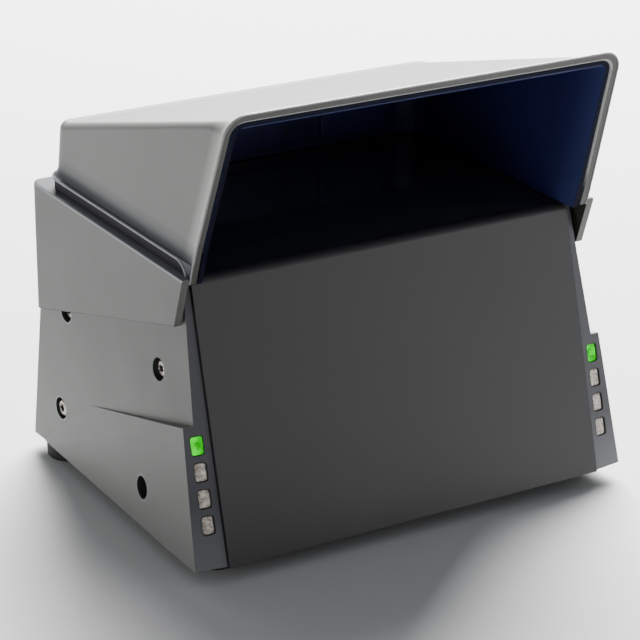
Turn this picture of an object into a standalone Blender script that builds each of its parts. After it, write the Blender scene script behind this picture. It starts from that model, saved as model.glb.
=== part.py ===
# A desktop passport reader: a grey casing round a charcoal front slope, a document window on
# top of it under a lift-off hood, and the optics and boards that do the reading inside.
#
# Lengths are in metres. Every piece is drawn in the case frame: y runs back from the foot of
# the front seam, z runs up from the underside of the case, and x is 0 on the plane of symmetry.
# The empty "reader" carries that frame to its place, feet on z = 0 and the footprint centred.

import math

import bmesh
import bpy
from mathutils import Matrix, Vector

# Fits shared by all pieces
CLEARANCE = 0.0003
OVERRUN = 0.004
ROUND_SIDES = 24
SMALL_SIDES = 16
ARC_STEPS = 5

# Casing
CASE_HALF_WIDTH = 0.0727
CASE_DEPTH = 0.1273
CASE_WALL = 0.0026
CASE_BACK_RADIUS = 0.0040
FRONT_LEAN = math.radians(14.2)
BACK_LEAN = math.radians(9.0)
SEAM_INSET = 0.0034
SEAM_HALF_WIDTH = CASE_HALF_WIDTH - SEAM_INSET
RIDGE_HEIGHT = 0.0860
DECK_TILT = math.radians(2.0)
NECK_STEP = 0.0140
NECK_DEPTH = CASE_DEPTH - NECK_STEP

# Indicator pods at the lower front corners
STRIP_SWEEP = math.radians(8.0)
POD_TOP_HEIGHT = 0.0430
POD_TOP_REACH = 0.0049
POD_FOOT_REACH = 0.0074
POD_TOP_HALF_WIDTH = CASE_HALF_WIDTH + POD_TOP_REACH
POD_FOOT_HALF_WIDTH = CASE_HALF_WIDTH + POD_FOOT_REACH
POD_TOP_BACK_ROOM = 0.0403
POD_FOOT_BACK_ROOM = 0.0053
POD_TOP_LENGTH = CASE_DEPTH - POD_TOP_BACK_ROOM
POD_FOOT_LENGTH = CASE_DEPTH - POD_FOOT_BACK_ROOM
POD_FOOT_FLARE = 0.0003
POD_MIDDLE_LENGTH = 0.0220
POD_MIDDLE_NARROWING = 0.0010
POD_POCKET_LENGTH = 0.0090
POD_FADE_HEIGHT = 0.0233

# Indicator windows and their boards
WINDOW_WIDTH = 0.0040
WINDOW_HEIGHT = 0.0057
WINDOW_RADIUS = 0.0009
WINDOW_PITCH = 0.0082
WINDOW_FIRST_HEIGHT = 0.0137
WINDOW_OFFSET = 0.0043
WINDOW_RECESS = 0.0004
WINDOW_COUNT = 4
STRIP_THICKNESS = 0.0026
INDICATOR_BOARD_WIDTH = 0.0058
INDICATOR_BOARD_THICKNESS = 0.0012
INDICATOR_BOARD_MARGIN = 0.0010

# Front bezel
BEZEL_PROUD = 0.0010
BEZEL_WALL = 0.0030
BEZEL_RIDGE_RADIUS = 0.0030
BEZEL_EDGE_RADIUS = 0.0016
BEZEL_TOP_DEPTH = 0.0038

# Deck frame, glass, gasket and antenna
DECK_THICKNESS = 0.0062
DECK_LEDGE_THICKNESS = 0.0016
GLASS_SIDE_MARGIN = 0.0043
GLASS_HALF_WIDTH = SEAM_HALF_WIDTH - GLASS_SIDE_MARGIN
GLASS_BACK_MARGIN = 0.0090
GLASS_THICKNESS = 0.0030
GLASS_START = 0.0036
GLASS_RECESS = 0.0002
GLASS_RADIUS = 0.0020
LEDGE_WIDTH = 0.0030
ANTENNA_THICKNESS = 0.0012
ANTENNA_WIDTH = 0.0052

# Hood, measured at its front rim and at its back
HOOD_WALL = 0.0023
HOOD_OVERHANG = 0.0045
HOOD_RIM_RISE = 0.0566
HOOD_RIM_HEIGHT = RIDGE_HEIGHT + HOOD_RIM_RISE
HOOD_RIM_LEAN = math.radians(19.2)
HOOD_RIM_RADIUS = 0.0070
HOOD_RIM_INSET = 0.0028
HOOD_RIM_HALF_WIDTH = CASE_HALF_WIDTH - HOOD_RIM_INSET
HOOD_RIM_WALL_INSET = 0.0006
HOOD_RIM_WALL_HALF_WIDTH = CASE_HALF_WIDTH - HOOD_RIM_WALL_INSET
HOOD_RIM_LIP_HALF_WIDTH = CASE_HALF_WIDTH
HOOD_RIM_FLARE = 0.0013
HOOD_RIM_FLARE_LENGTH = 0.0120
HOOD_BACK_STEP = 0.0045
HOOD_BACK_DEPTH = NECK_DEPTH - HOOD_BACK_STEP
HOOD_BACK_RISE = 0.0281
HOOD_BACK_HEIGHT = RIDGE_HEIGHT + HOOD_BACK_RISE
HOOD_BACK_LEAN = math.radians(2.8)
HOOD_BACK_RADIUS = 0.0026
HOOD_BACK_INSET = 0.0024
HOOD_BACK_HALF_WIDTH = CASE_HALF_WIDTH - HOOD_BACK_INSET
HOOD_BACK_WALL_INSET = 0.0017
HOOD_BACK_WALL_HALF_WIDTH = CASE_HALF_WIDTH - HOOD_BACK_WALL_INSET
HOOD_BACK_LIP_REACH = 0.0003
HOOD_BACK_LIP_HALF_WIDTH = CASE_HALF_WIDTH + HOOD_BACK_LIP_REACH
HOOD_CORNER_RADIUS = 0.0080
HOOD_LIP_RISE = 0.0068
HOOD_LIP_HEIGHT = 0.0009
HOOD_LIP_FILLET_HEIGHT = 0.0042
HOOD_LEG_RISE = 0.0010
HOOD_LEG_DEPTH = 0.0166
HOOD_LEG_RADIUS = 0.0054
HOOD_FLARE_SHARES = (0.35, 1.0)
HOOD_MIDDLE_SHARE = 0.5

# Liner inside the hood
LINER_WALL = 0.0015
LINER_RISE = 0.0004
LINER_SETBACK = 0.0005
FLANGE_INSET = 0.0003

# Collar that slips over the neck of the casing
COLLAR_WALL = 0.0024
COLLAR_FRONT_DROP = 0.0137
COLLAR_FRONT_HEIGHT = RIDGE_HEIGHT - COLLAR_FRONT_DROP
COLLAR_TOP_RISE = 0.0029
COLLAR_SHOULDER = 0.0019
COLLAR_BACK_RADIUS = 0.0040
COLLAR_EDGE_RADIUS = 0.0008
COLLAR_SEAT_GAP = 0.0004

# Chassis: the light-tight box that holds the optics
CHASSIS_SIDE_ROOM = 0.0087
CHASSIS_HALF_WIDTH = CASE_HALF_WIDTH - CHASSIS_SIDE_ROOM
CHASSIS_START = 0.0275
CHASSIS_BACK_ROOM = 0.0193
CHASSIS_BACK = CASE_DEPTH - CHASSIS_BACK_ROOM
CHASSIS_DEPTH = CHASSIS_BACK - CHASSIS_START
CHASSIS_WALL = 0.0020
CHASSIS_FLOOR_HEIGHT = 0.0046
SIDE_BOSS_RADIUS = 0.0040
BACK_BOSS_RADIUS = 0.0030
BACK_BOSS_LENGTH = 0.0020
BACK_BOSS_MARGIN = 0.0050
PAD_HALF_SIZE = 0.0050

# Screws
SCREW_HEAD_RADIUS = 0.0030
SCREW_HEAD_HEIGHT = 0.0012
SCREW_SHANK_RADIUS = 0.0013
SCREW_SHANK_LENGTH = 0.0062
SCREW_SOCKET_RADIUS = 0.0012
SCREW_SOCKET_DEPTH = 0.0007
SCREW_RECESS_RADIUS = 0.0037
SCREW_RECESS_DEPTH = 0.0027
SCREW_WELL_WALL = 0.0012
FRONT_UPPER_SCREW = (0.0343, 0.0535)
FRONT_LOWER_SCREW = (0.0395, 0.0130)
BACK_LOWER_SCREW_ROOM = 0.0233
BACK_LOWER_SCREW_HEIGHT = 0.0160
BACK_UPPER_SCREW_ROOM = 0.0293
BACK_UPPER_SCREW_HEIGHT = 0.0520
SIDE_SCREWS = {
    "front_upper": FRONT_UPPER_SCREW,
    "back_lower": (CASE_DEPTH - BACK_LOWER_SCREW_ROOM, BACK_LOWER_SCREW_HEIGHT),
    "front_lower": FRONT_LOWER_SCREW,
    "back_upper": (CASE_DEPTH - BACK_UPPER_SCREW_ROOM, BACK_UPPER_SCREW_HEIGHT),
}

# Base plate and feet
BASE_THICKNESS = 0.0022
BASE_RECESS = 0.0006
BASE_SCREW_MARGIN = 0.0180
BASE_SCREW_HALF_SPAN = CHASSIS_HALF_WIDTH - BASE_SCREW_MARGIN
BASE_SCREW_FRONT = 0.0360
BASE_SCREW_BACK_ROOM = 0.0283
BASE_SCREW_DEPTHS = (BASE_SCREW_FRONT, CASE_DEPTH - BASE_SCREW_BACK_ROOM)
FOOT_RADIUS = 0.0080
FOOT_HEIGHT = 0.0055
FOOT_TAPER = 0.0005
FOOT_PEG_RADIUS = 0.0022
FOOT_SEAT_RADIUS = 0.0048
FOOT_MARGIN = 0.0078
FOOT_HALF_SPAN = CASE_HALF_WIDTH - FOOT_MARGIN
FOOT_FRONT = 0.0160
FOOT_BACK_ROOM = 0.0134
FOOT_DEPTHS = (FOOT_FRONT, CASE_DEPTH - FOOT_BACK_ROOM)
VENT_LENGTH = 0.0300
VENT_WIDTH = 0.0024
VENT_PITCH = 0.0060
VENT_COUNT = 6

# Mirror and bracket
BRACKET_MARGIN = 0.0160
BRACKET_HALF_WIDTH = CHASSIS_HALF_WIDTH - BRACKET_MARGIN
BRACKET_SHEET = 0.0015
MIRROR_SIDE_MARGIN = 0.0020
MIRROR_HALF_WIDTH = BRACKET_HALF_WIDTH - MIRROR_SIDE_MARGIN
MIRROR_THICKNESS = 0.0030
MIRROR_END_MARGIN = 0.0057
BRACKET_FOOT_START = 0.0065
BRACKET_FOOT_LENGTH = 0.0100
BRACKET_TOP_ROOM = 0.0320
BRACKET_RISE = RIDGE_HEIGHT - BRACKET_TOP_ROOM
BRACKET_FLANGE = 0.0110

# Camera
CAMERA_HEIGHT = 0.0330
HOLDER_HALF_SIZE = 0.0110
HOLDER_DEPTH = 0.0098
BARREL_RADIUS = 0.0058
BARREL_BORE_RADIUS = 0.0043
BARREL_LENGTH = 0.0150
BARREL_REACH = 0.0060
LENS_THICKNESS = 0.0020
LENS_SETBACK = 0.0010
SENSOR_HALF_SIZE = 0.0036
SENSOR_THICKNESS = 0.0012
CAMERA_BOARD_HALF_WIDTH = 0.0200
CAMERA_BOARD_HALF_HEIGHT = 0.0125
BOARD_THICKNESS = 0.0016

# Light boards and diffusers
LIGHT_BOARD_START = 0.0080
LIGHT_BOARD_BACK_ROOM = 0.0085
LIGHT_BOARD_LENGTH = CHASSIS_DEPTH - LIGHT_BOARD_START - LIGHT_BOARD_BACK_ROOM
LIGHT_BOARD_DROP = 0.0260
LIGHT_BOARD_BOTTOM = RIDGE_HEIGHT - LIGHT_BOARD_DROP
LIGHT_BOARD_HEIGHT = 0.0120
LAMP_SIZE = 0.0030
LAMP_HEIGHT = 0.0014
LAMP_COUNT = 7
DIFFUSER_WALL = 0.0012
DIFFUSER_GAP = 0.0010

# Main board and what it carries
MAIN_BOARD_MARGIN = 0.0140
MAIN_BOARD_HALF_WIDTH = CHASSIS_HALF_WIDTH - MAIN_BOARD_MARGIN
MAIN_BOARD_BOTTOM = 0.0070
MAIN_BOARD_TOP_ROOM = 0.0027
SHIELD_WIDTH = 0.0260
SHIELD_END_MARGIN = 0.0070
SHIELD_THICKNESS = 0.0026
SHIELD_MARGIN = 0.0080
SHIELD_LEFT = SHIELD_MARGIN - MAIN_BOARD_HALF_WIDTH
SOCKET_BOTTOM = 0.0090
SOCKET_HEIGHT = 0.0112
SOCKET_WIDTH = 0.0120
SOCKET_INSET = 0.0008
USB_LEFT = 0.0180
USB_MOUTH_MARGIN = 0.0018
USB_MOUTH_DEPTH = 0.0090
POWER_LEFT = -0.0020
POWER_BORE_RADIUS = 0.0032
POWER_BORE_DEPTH = 0.0105
POWER_PIN_RADIUS = 0.0010
POWER_PIN_LENGTH = 0.0050
LOCK_MARGIN = 0.0207
LOCK_LEFT = LOCK_MARGIN - CASE_HALF_WIDTH
LOCK_WIDTH = 0.0070
LOCK_HEIGHT = 0.0030
LOCK_BOTTOM = 0.0150

# Radio board, buzzer and ribbon
RADIO_BOARD_START = 0.0200
RADIO_BOARD_BACK_ROOM = 0.0165
RADIO_BOARD_LENGTH = CHASSIS_DEPTH - RADIO_BOARD_START - RADIO_BOARD_BACK_ROOM
RADIO_BOARD_BOTTOM = 0.0240
RADIO_BOARD_HEIGHT = 0.0380
CHIP_SIZE = 0.0090
CHIP_HEIGHT = 0.0010
CHIP_SHARES = (0.3, 0.7)
BUZZER_RADIUS = 0.0060
BUZZER_HEIGHT = 0.0070
BUZZER_PORT_RADIUS = 0.0012
BUZZER_PORT_DEPTH = 0.0030
BUZZER_MARGIN = 0.0200
BUZZER_X = CHASSIS_HALF_WIDTH - BUZZER_MARGIN
BUZZER_Y = 0.0160
RIBBON_HALF_WIDTH = 0.0090
RIBBON_THICKNESS = 0.0004

# Places worked out from the sizes above
SIDES = {"left": -1, "right": 1}
NECK_WALL_Y = NECK_DEPTH - CASE_WALL
INNER_HALF_WIDTH = CASE_HALF_WIDTH - CASE_WALL
RIDGE_Y = RIDGE_HEIGHT * math.tan(FRONT_LEAN) - BEZEL_PROUD / math.cos(FRONT_LEAN)
GLASS_FRONT = RIDGE_Y + GLASS_START
GLASS_BACK = NECK_DEPTH - GLASS_BACK_MARGIN
BACK_BOSS_HALF_SPAN = MAIN_BOARD_HALF_WIDTH - BACK_BOSS_MARGIN
CHASSIS_DROP = DECK_THICKNESS + ANTENNA_THICKNESS + CLEARANCE + CLEARANCE
CHASSIS_FLOOR_TOP = CHASSIS_FLOOR_HEIGHT + CHASSIS_WALL
COLLAR_HALF_WIDTH = CASE_HALF_WIDTH + CLEARANCE + COLLAR_WALL
COLLAR_BACK = NECK_DEPTH + CLEARANCE + COLLAR_WALL
BASE_TOP = BASE_RECESS + BASE_THICKNESS
MAIN_BOARD_FRONT = CHASSIS_BACK + BACK_BOSS_LENGTH + CLEARANCE
MAIN_BOARD_BACK = MAIN_BOARD_FRONT + BOARD_THICKNESS
HOLDER_FRONT = CHASSIS_START - CLEARANCE - HOLDER_DEPTH
CAMERA_BOARD_BACK = HOLDER_FRONT - CLEARANCE
SCREW_SEAT_X = CASE_HALF_WIDTH - SCREW_RECESS_DEPTH
SCREW_WELL_X = SCREW_SEAT_X - SCREW_WELL_WALL


def front_y(height):
    """The seam plane of the front slope at a height."""
    return height * math.tan(FRONT_LEAN)


def back_y(height):
    """The outer face of the casing's back at a height."""
    return CASE_DEPTH - height * math.tan(BACK_LEAN)


def deck_z(y, rise=0.0):
    """The height of the deck plane, or of a plane that lies a rise above it."""
    return RIDGE_HEIGHT + (y - RIDGE_Y) * math.tan(DECK_TILT) + rise


def rim_y(height):
    """The plane of the hood's front rim at a height."""
    return (HOOD_RIM_HEIGHT - height) * math.tan(HOOD_RIM_LEAN) - HOOD_OVERHANG


def collar_foot_z(y):
    """The lower edge of the collar, square to the front slope."""
    front = rim_y(COLLAR_FRONT_HEIGHT)
    return COLLAR_FRONT_HEIGHT - (y - front) * math.tan(FRONT_LEAN)


def neck_foot_z():
    """The inner height of the step below the casing's neck."""
    return collar_foot_z(NECK_DEPTH) - COLLAR_SEAT_GAP - CASE_WALL


MAIN_BOARD_TOP = neck_foot_z() - MAIN_BOARD_TOP_ROOM
BACK_BOSS_HEIGHTS = (MAIN_BOARD_BOTTOM + BACK_BOSS_MARGIN, MAIN_BOARD_TOP - BACK_BOSS_MARGIN)


# Scene, collections and materials

def clear_scene():
    for old in list(bpy.data.objects):
        bpy.data.objects.remove(old, do_unlink=True)


def make_collection(name):
    made = bpy.data.collections.new(name)
    bpy.context.scene.collection.children.link(made)
    return made


clear_scene()
PARTS = make_collection("passport_reader")
CUTTERS = make_collection("passport_reader_cutters")

READER = bpy.data.objects.new("reader", None)
READER.location = (0.0, HOOD_OVERHANG - (CASE_DEPTH + HOOD_OVERHANG) / 2, FOOT_HEIGHT)
PARTS.objects.link(READER)
HOOD_LIFT = bpy.data.objects.new("hood_lift", None)
HOOD_LIFT.parent = READER
PARTS.objects.link(HOOD_LIFT)


def finish(name, colour, roughness, metallic=0.0):
    material = bpy.data.materials.new(name)
    material.use_nodes = True
    shader = material.node_tree.nodes["Principled BSDF"]
    shader.inputs["Base Color"].default_value = (*colour, 1.0)
    shader.inputs["Roughness"].default_value = roughness
    shader.inputs["Metallic"].default_value = metallic
    return material


GREY = (0.30, 0.31, 0.30)
CHARCOAL = (0.030, 0.030, 0.033)
NAVY_BLACK = (0.006, 0.007, 0.018)
BOARD_GREEN = (0.02, 0.14, 0.05)


# Shapes

def as_mesh(name, bm):
    mesh = bpy.data.meshes.new(name)
    bmesh.ops.recalc_face_normals(bm, faces=bm.faces)
    bm.to_mesh(mesh)
    bm.free()
    return mesh


def block(name, low, high):
    """A box between two opposite corners."""
    low, high = Vector(low), Vector(high)
    size = high - low
    bm = bmesh.new()
    place = Matrix.Translation((low + high) / 2) @ Matrix.Diagonal((*size, 1.0))
    bmesh.ops.create_cube(bm, size=1.0, matrix=place)
    return as_mesh(name, bm)


def rod(name, radius, start, end, sides=ROUND_SIDES):
    """A cylinder between two points."""
    start, end = Vector(start), Vector(end)
    along = end - start
    bm = bmesh.new()
    turn = Vector((0, 0, 1)).rotation_difference(along).to_matrix().to_4x4()
    place = Matrix.Translation((start + end) / 2) @ turn
    bmesh.ops.create_cone(
        bm, cap_ends=True, segments=sides, radius1=radius, radius2=radius,
        depth=along.length, matrix=place)
    return as_mesh(name, bm)


def evaluated_mesh(made):
    """The object's finished shape as a plain mesh, with its doubled points welded."""
    bpy.context.view_layer.update()
    graph = bpy.context.evaluated_depsgraph_get()
    mesh = bpy.data.meshes.new_from_object(made.evaluated_get(graph))
    bm = bmesh.new()
    bm.from_mesh(mesh)
    bmesh.ops.remove_doubles(bm, verts=bm.verts, dist=CLEARANCE / 100)
    bmesh.ops.dissolve_limit(
        bm, angle_limit=math.radians(0.2), verts=bm.verts, edges=bm.edges)
    bmesh.ops.recalc_face_normals(bm, faces=bm.faces)
    bm.to_mesh(mesh)
    bm.free()
    return mesh


def outline_slab(name, points, half_thickness):
    """A flat outline in the xy plane, thickened both ways along z."""
    curve = bpy.data.curves.new(name, "CURVE")
    curve.dimensions = "2D"
    curve.fill_mode = "BOTH"
    curve.extrude = half_thickness
    spline = curve.splines.new("POLY")
    spline.points.add(len(points) - 1)
    for point, (x, y) in zip(spline.points, points):
        point.co = (x, y, 0.0, 1.0)
    spline.use_cyclic_u = True
    flat = bpy.data.objects.new(name + "_outline", curve)
    CUTTERS.objects.link(flat)
    mesh = evaluated_mesh(flat)
    bpy.data.objects.remove(flat, do_unlink=True)
    return mesh


# Turns an outline's x, y into the case frame's y, z
ALONG_X = Matrix(((0, 0, 1, 0), (1, 0, 0, 0), (0, 1, 0, 0), (0, 0, 0, 1)))


def profile_slab(name, points, half_width, centre=0.0):
    """A side profile in y and z, carried across the width."""
    mesh = outline_slab(name, points, half_width)
    mesh.transform(Matrix.Translation((centre, 0, 0)) @ ALONG_X)
    return mesh


def plan_slab(name, points, low, high):
    """A plan outline in x and y, from one height to another."""
    mesh = outline_slab(name, points, (high - low) / 2)
    mesh.transform(Matrix.Translation((0, 0, (low + high) / 2)))
    return mesh


def deck_slab(name, points, low, high):
    """A plan outline that lies parallel to the deck, between two rises above it."""
    mesh = plan_slab(name, points, low, high)
    pivot = Vector((0, RIDGE_Y, RIDGE_HEIGHT))
    place = (
        Matrix.Translation(pivot) @ Matrix.Rotation(DECK_TILT, 4, "X")
        @ Matrix.Translation((0, -RIDGE_Y, 0)))
    mesh.transform(place)
    return mesh


def rounded(corners, steps=ARC_STEPS):
    """Corner points (x, y, radius) turned into an outline with arcs at its corners."""
    outline = []
    count = len(corners)
    for index, (x, y, radius) in enumerate(corners):
        here = Vector((x, y))
        if radius <= 0:
            outline.append((x, y))
            continue
        before = (Vector(corners[index - 1][:2]) - here).normalized()
        after = (Vector(corners[(index + 1) % count][:2]) - here).normalized()
        half_angle = before.angle(after) / 2
        centre = here + (before + after).normalized() * radius / math.sin(half_angle)
        first = (here + before * radius / math.tan(half_angle) - centre).normalized()
        last = (here + after * radius / math.tan(half_angle) - centre).normalized()
        for step in range(steps + 1):
            outline.append(tuple(centre + first.slerp(last, step / steps) * radius))
    return outline


def rectangle(half_width, front, back, radius=0.0):
    return rounded([
        (-half_width, front, radius), (half_width, front, radius),
        (half_width, back, radius), (-half_width, back, radius)])


def loft(name, rings):
    """A closed skin over rings of equally many points."""
    bm = bmesh.new()
    rows = [[bm.verts.new(point) for point in ring] for ring in rings]
    count = len(rings[0])
    for row, following in zip(rows, rows[1:]):
        for index in range(count):
            other = (index + 1) % count
            bm.faces.new((row[index], row[other], following[other], following[index]))
    bm.faces.new(rows[0])
    bm.faces.new(rows[-1])
    return as_mesh(name, bm)


def hull(name, points):
    bm = bmesh.new()
    for point in points:
        bm.verts.new(point)
    bmesh.ops.convex_hull(bm, input=bm.verts)
    loose = [vert for vert in bm.verts if not vert.link_faces]
    bmesh.ops.delete(bm, geom=loose, context="VERTS")
    bmesh.ops.dissolve_limit(
        bm, angle_limit=math.radians(0.2), verts=bm.verts, edges=bm.edges)
    return as_mesh(name, bm)


def turned(name, profile, sides=ROUND_SIDES):
    """A profile of (radius, height) points from top to bottom, turned about z."""
    mesh = bpy.data.meshes.new(name)
    mesh.from_pydata(
        [(radius, 0, height) for radius, height in profile],
        [(index, index + 1) for index in range(len(profile) - 1)], [])
    made = bpy.data.objects.new(name + "_profile", mesh)
    CUTTERS.objects.link(made)
    screw = made.modifiers.new("turn", "SCREW")
    screw.axis = "Z"
    screw.steps = sides
    screw.render_steps = sides
    screw.use_merge_vertices = True
    screw.merge_threshold = CLEARANCE / 10
    shape = evaluated_mesh(made)
    bpy.data.objects.remove(made, do_unlink=True)
    return shape


def joined(name, meshes):
    """Several closed meshes kept side by side in one mesh, for use as one cutter."""
    bm = bmesh.new()
    for mesh in meshes:
        bm.from_mesh(mesh)
    made = bpy.data.meshes.new(name)
    bm.to_mesh(made)
    bm.free()
    return made


def moved(mesh, place):
    mesh.transform(place)
    return mesh


def bevel_edges(mesh, chosen, radius, steps=ARC_STEPS):
    """Rounds the edges whose two ends both satisfy a test."""
    bm = bmesh.new()
    bm.from_mesh(mesh)
    edges = [edge for edge in bm.edges if chosen(*(vert.co for vert in edge.verts))]
    bmesh.ops.bevel(
        bm, geom=edges, offset=radius, offset_type="OFFSET", segments=steps,
        profile=0.5, affect="EDGES", clamp_overlap=True)
    bm.to_mesh(mesh)
    bm.free()
    return mesh


def node(name, mesh, material, adds=(), cuts=(), fittings=(), bores=(), parent=READER,
         place=None):
    """A piece: a base mesh, what is joined to it and cut from it, then fittings and bores."""
    made = bpy.data.objects.new(name, mesh)
    made.data.materials.append(material)
    made.parent = parent
    if place:
        made.matrix_basis = place
    PARTS.objects.link(made)
    for operation, helpers in (
            ("UNION", adds), ("DIFFERENCE", cuts), ("UNION", fittings), ("DIFFERENCE", bores)):
        for helper_mesh in helpers:
            helper = bpy.data.objects.new(name + "_" + helper_mesh.name, helper_mesh)
            helper.hide_render = True
            helper.display_type = "WIRE"
            helper.parent = parent
            CUTTERS.objects.link(helper)
            step = made.modifiers.new(helper_mesh.name, "BOOLEAN")
            step.operation = operation
            step.solver = "EXACT"
            step.object = helper
    return made


def shade_round(made, angle=math.radians(35)):
    made.data.shade_smooth()
    made.data.set_sharp_from_angle(angle=angle)
    return made


# Frames that lie on the two indicator strips: x outward, z up the slope, y into the case

def strip_frame(side):
    return (
        Matrix.Translation((side * SEAM_HALF_WIDTH, 0, 0))
        @ Matrix.Rotation(-FRONT_LEAN, 4, "X")
        @ Matrix.Rotation(side * STRIP_SWEEP, 4, "Z"))


def window_places():
    """The centre of each indicator window, along the strip and up the slope."""
    for index in range(WINDOW_COUNT):
        yield WINDOW_OFFSET, WINDOW_FIRST_HEIGHT + index * WINDOW_PITCH


# Casing

def casing_profile():
    shoulder = collar_foot_z(NECK_DEPTH) - COLLAR_SEAT_GAP
    shoulder_back = back_y(shoulder)
    return [
        (front_y(-OVERRUN), -OVERRUN),
        (back_y(-OVERRUN), -OVERRUN),
        (shoulder_back, collar_foot_z(shoulder_back) - COLLAR_SEAT_GAP),
        (NECK_DEPTH, shoulder),
        (NECK_DEPTH, deck_z(NECK_DEPTH)),
        (front_y(RIDGE_HEIGHT), deck_z(front_y(RIDGE_HEIGHT))),
    ]


def cavity_profile():
    shoulder = neck_foot_z()
    shoulder_back = back_y(shoulder) - CASE_WALL
    low = -OVERRUN * 2
    high = RIDGE_HEIGHT + OVERRUN * 2
    return [
        (front_y(low) + STRIP_THICKNESS, low),
        (back_y(low) - CASE_WALL, low),
        (shoulder_back, collar_foot_z(shoulder_back) - COLLAR_SEAT_GAP - CASE_WALL),
        (NECK_WALL_Y, shoulder),
        (NECK_WALL_Y, high),
        (front_y(high) + STRIP_THICKNESS, high),
    ]


def pod_points(side):
    """Corners of a pod's hull, from the indicator strip back to where it dies away."""
    inner = side * (INNER_HALF_WIDTH - CLEARANCE)
    case_side = side * (CASE_HALF_WIDTH - CLEARANCE)
    ledge_drop = (POD_TOP_HEIGHT - POD_FADE_HEIGHT) / (POD_TOP_LENGTH - front_y(POD_TOP_HEIGHT))
    middle_top = POD_TOP_HEIGHT - (POD_MIDDLE_LENGTH - front_y(POD_TOP_HEIGHT)) * ledge_drop
    stations = [
        (front_y(POD_TOP_HEIGHT) - OVERRUN, POD_TOP_HEIGHT + OVERRUN * ledge_drop,
         POD_TOP_HALF_WIDTH),
        (front_y(0) - OVERRUN, -OVERRUN, POD_FOOT_HALF_WIDTH),
        (POD_MIDDLE_LENGTH, middle_top, POD_TOP_HALF_WIDTH - POD_MIDDLE_NARROWING),
        (POD_MIDDLE_LENGTH, -OVERRUN, POD_FOOT_HALF_WIDTH - POD_MIDDLE_NARROWING)]
    points = [(side * half_width, y, z) for y, z, half_width in stations]
    points += [(inner, y, z) for y, z, half_width in stations]
    foot_side = side * (CASE_HALF_WIDTH + POD_FOOT_FLARE)
    points += [
        (inner, POD_TOP_LENGTH, POD_FADE_HEIGHT), (case_side, POD_TOP_LENGTH, POD_FADE_HEIGHT),
        (inner, POD_FOOT_LENGTH, -OVERRUN), (foot_side, POD_FOOT_LENGTH, -OVERRUN)]
    return points


def pod_pocket(side):
    """The hollow behind a strip, open to the casing's inside."""
    reach = WINDOW_OFFSET + INDICATOR_BOARD_WIDTH / 2 + CLEARANCE
    low = WINDOW_FIRST_HEIGHT - WINDOW_PITCH / 2 - INDICATOR_BOARD_MARGIN
    high = low + WINDOW_COUNT * WINDOW_PITCH + INDICATOR_BOARD_MARGIN * 2
    pocket = block(
        "pod_pocket", (min(0, side * reach), STRIP_THICKNESS, low),
        (max(0, side * reach), POD_POCKET_LENGTH, high))
    return moved(pocket, strip_frame(side))


def strip_trim(side):
    """What lies in front of an indicator strip."""
    reach = POD_FOOT_HALF_WIDTH - SEAM_HALF_WIDTH + OVERRUN
    ends = sorted((side * reach, -side * OVERRUN))
    trim = block(
        "strip_trim", (ends[0], -OVERRUN * 4, -OVERRUN * 3),
        (ends[1], 0, RIDGE_HEIGHT + OVERRUN * 3))
    return moved(trim, strip_frame(side))


def window_block(side, name, margin, near, far):
    """One rounded window shape for each place on a strip, grown by a margin."""
    half_width = WINDOW_WIDTH / 2 + margin
    half_height = WINDOW_HEIGHT / 2 + margin
    corner = WINDOW_RADIUS + margin
    shapes = []
    for offset, height in window_places():
        outline = rounded([
            (-half_width, -half_height, corner), (half_width, -half_height, corner),
            (half_width, half_height, corner), (-half_width, half_height, corner)], steps=3)
        slab = outline_slab(name, outline, (far - near) / 2)
        stand = Matrix.Rotation(math.radians(90), 4, "X")
        place = Matrix.Translation((side * offset, (near + far) / 2, height))
        shapes.append(moved(slab, place @ stand))
    return shapes


def screw_recess(side, y, z):
    """A counterbore from outside down to the screw's seat, and the shank's hole."""
    seat = side * SCREW_SEAT_X
    outside = side * (POD_FOOT_HALF_WIDTH + OVERRUN)
    inside = side * (SCREW_WELL_X - OVERRUN)
    wide = rod("recess", SCREW_RECESS_RADIUS, (seat, y, z), (outside, y, z))
    narrow = rod(
        "shank_hole", SCREW_SHANK_RADIUS + CLEARANCE, (inside, y, z), (outside, y, z),
        SMALL_SIDES)
    return wide, narrow


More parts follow.
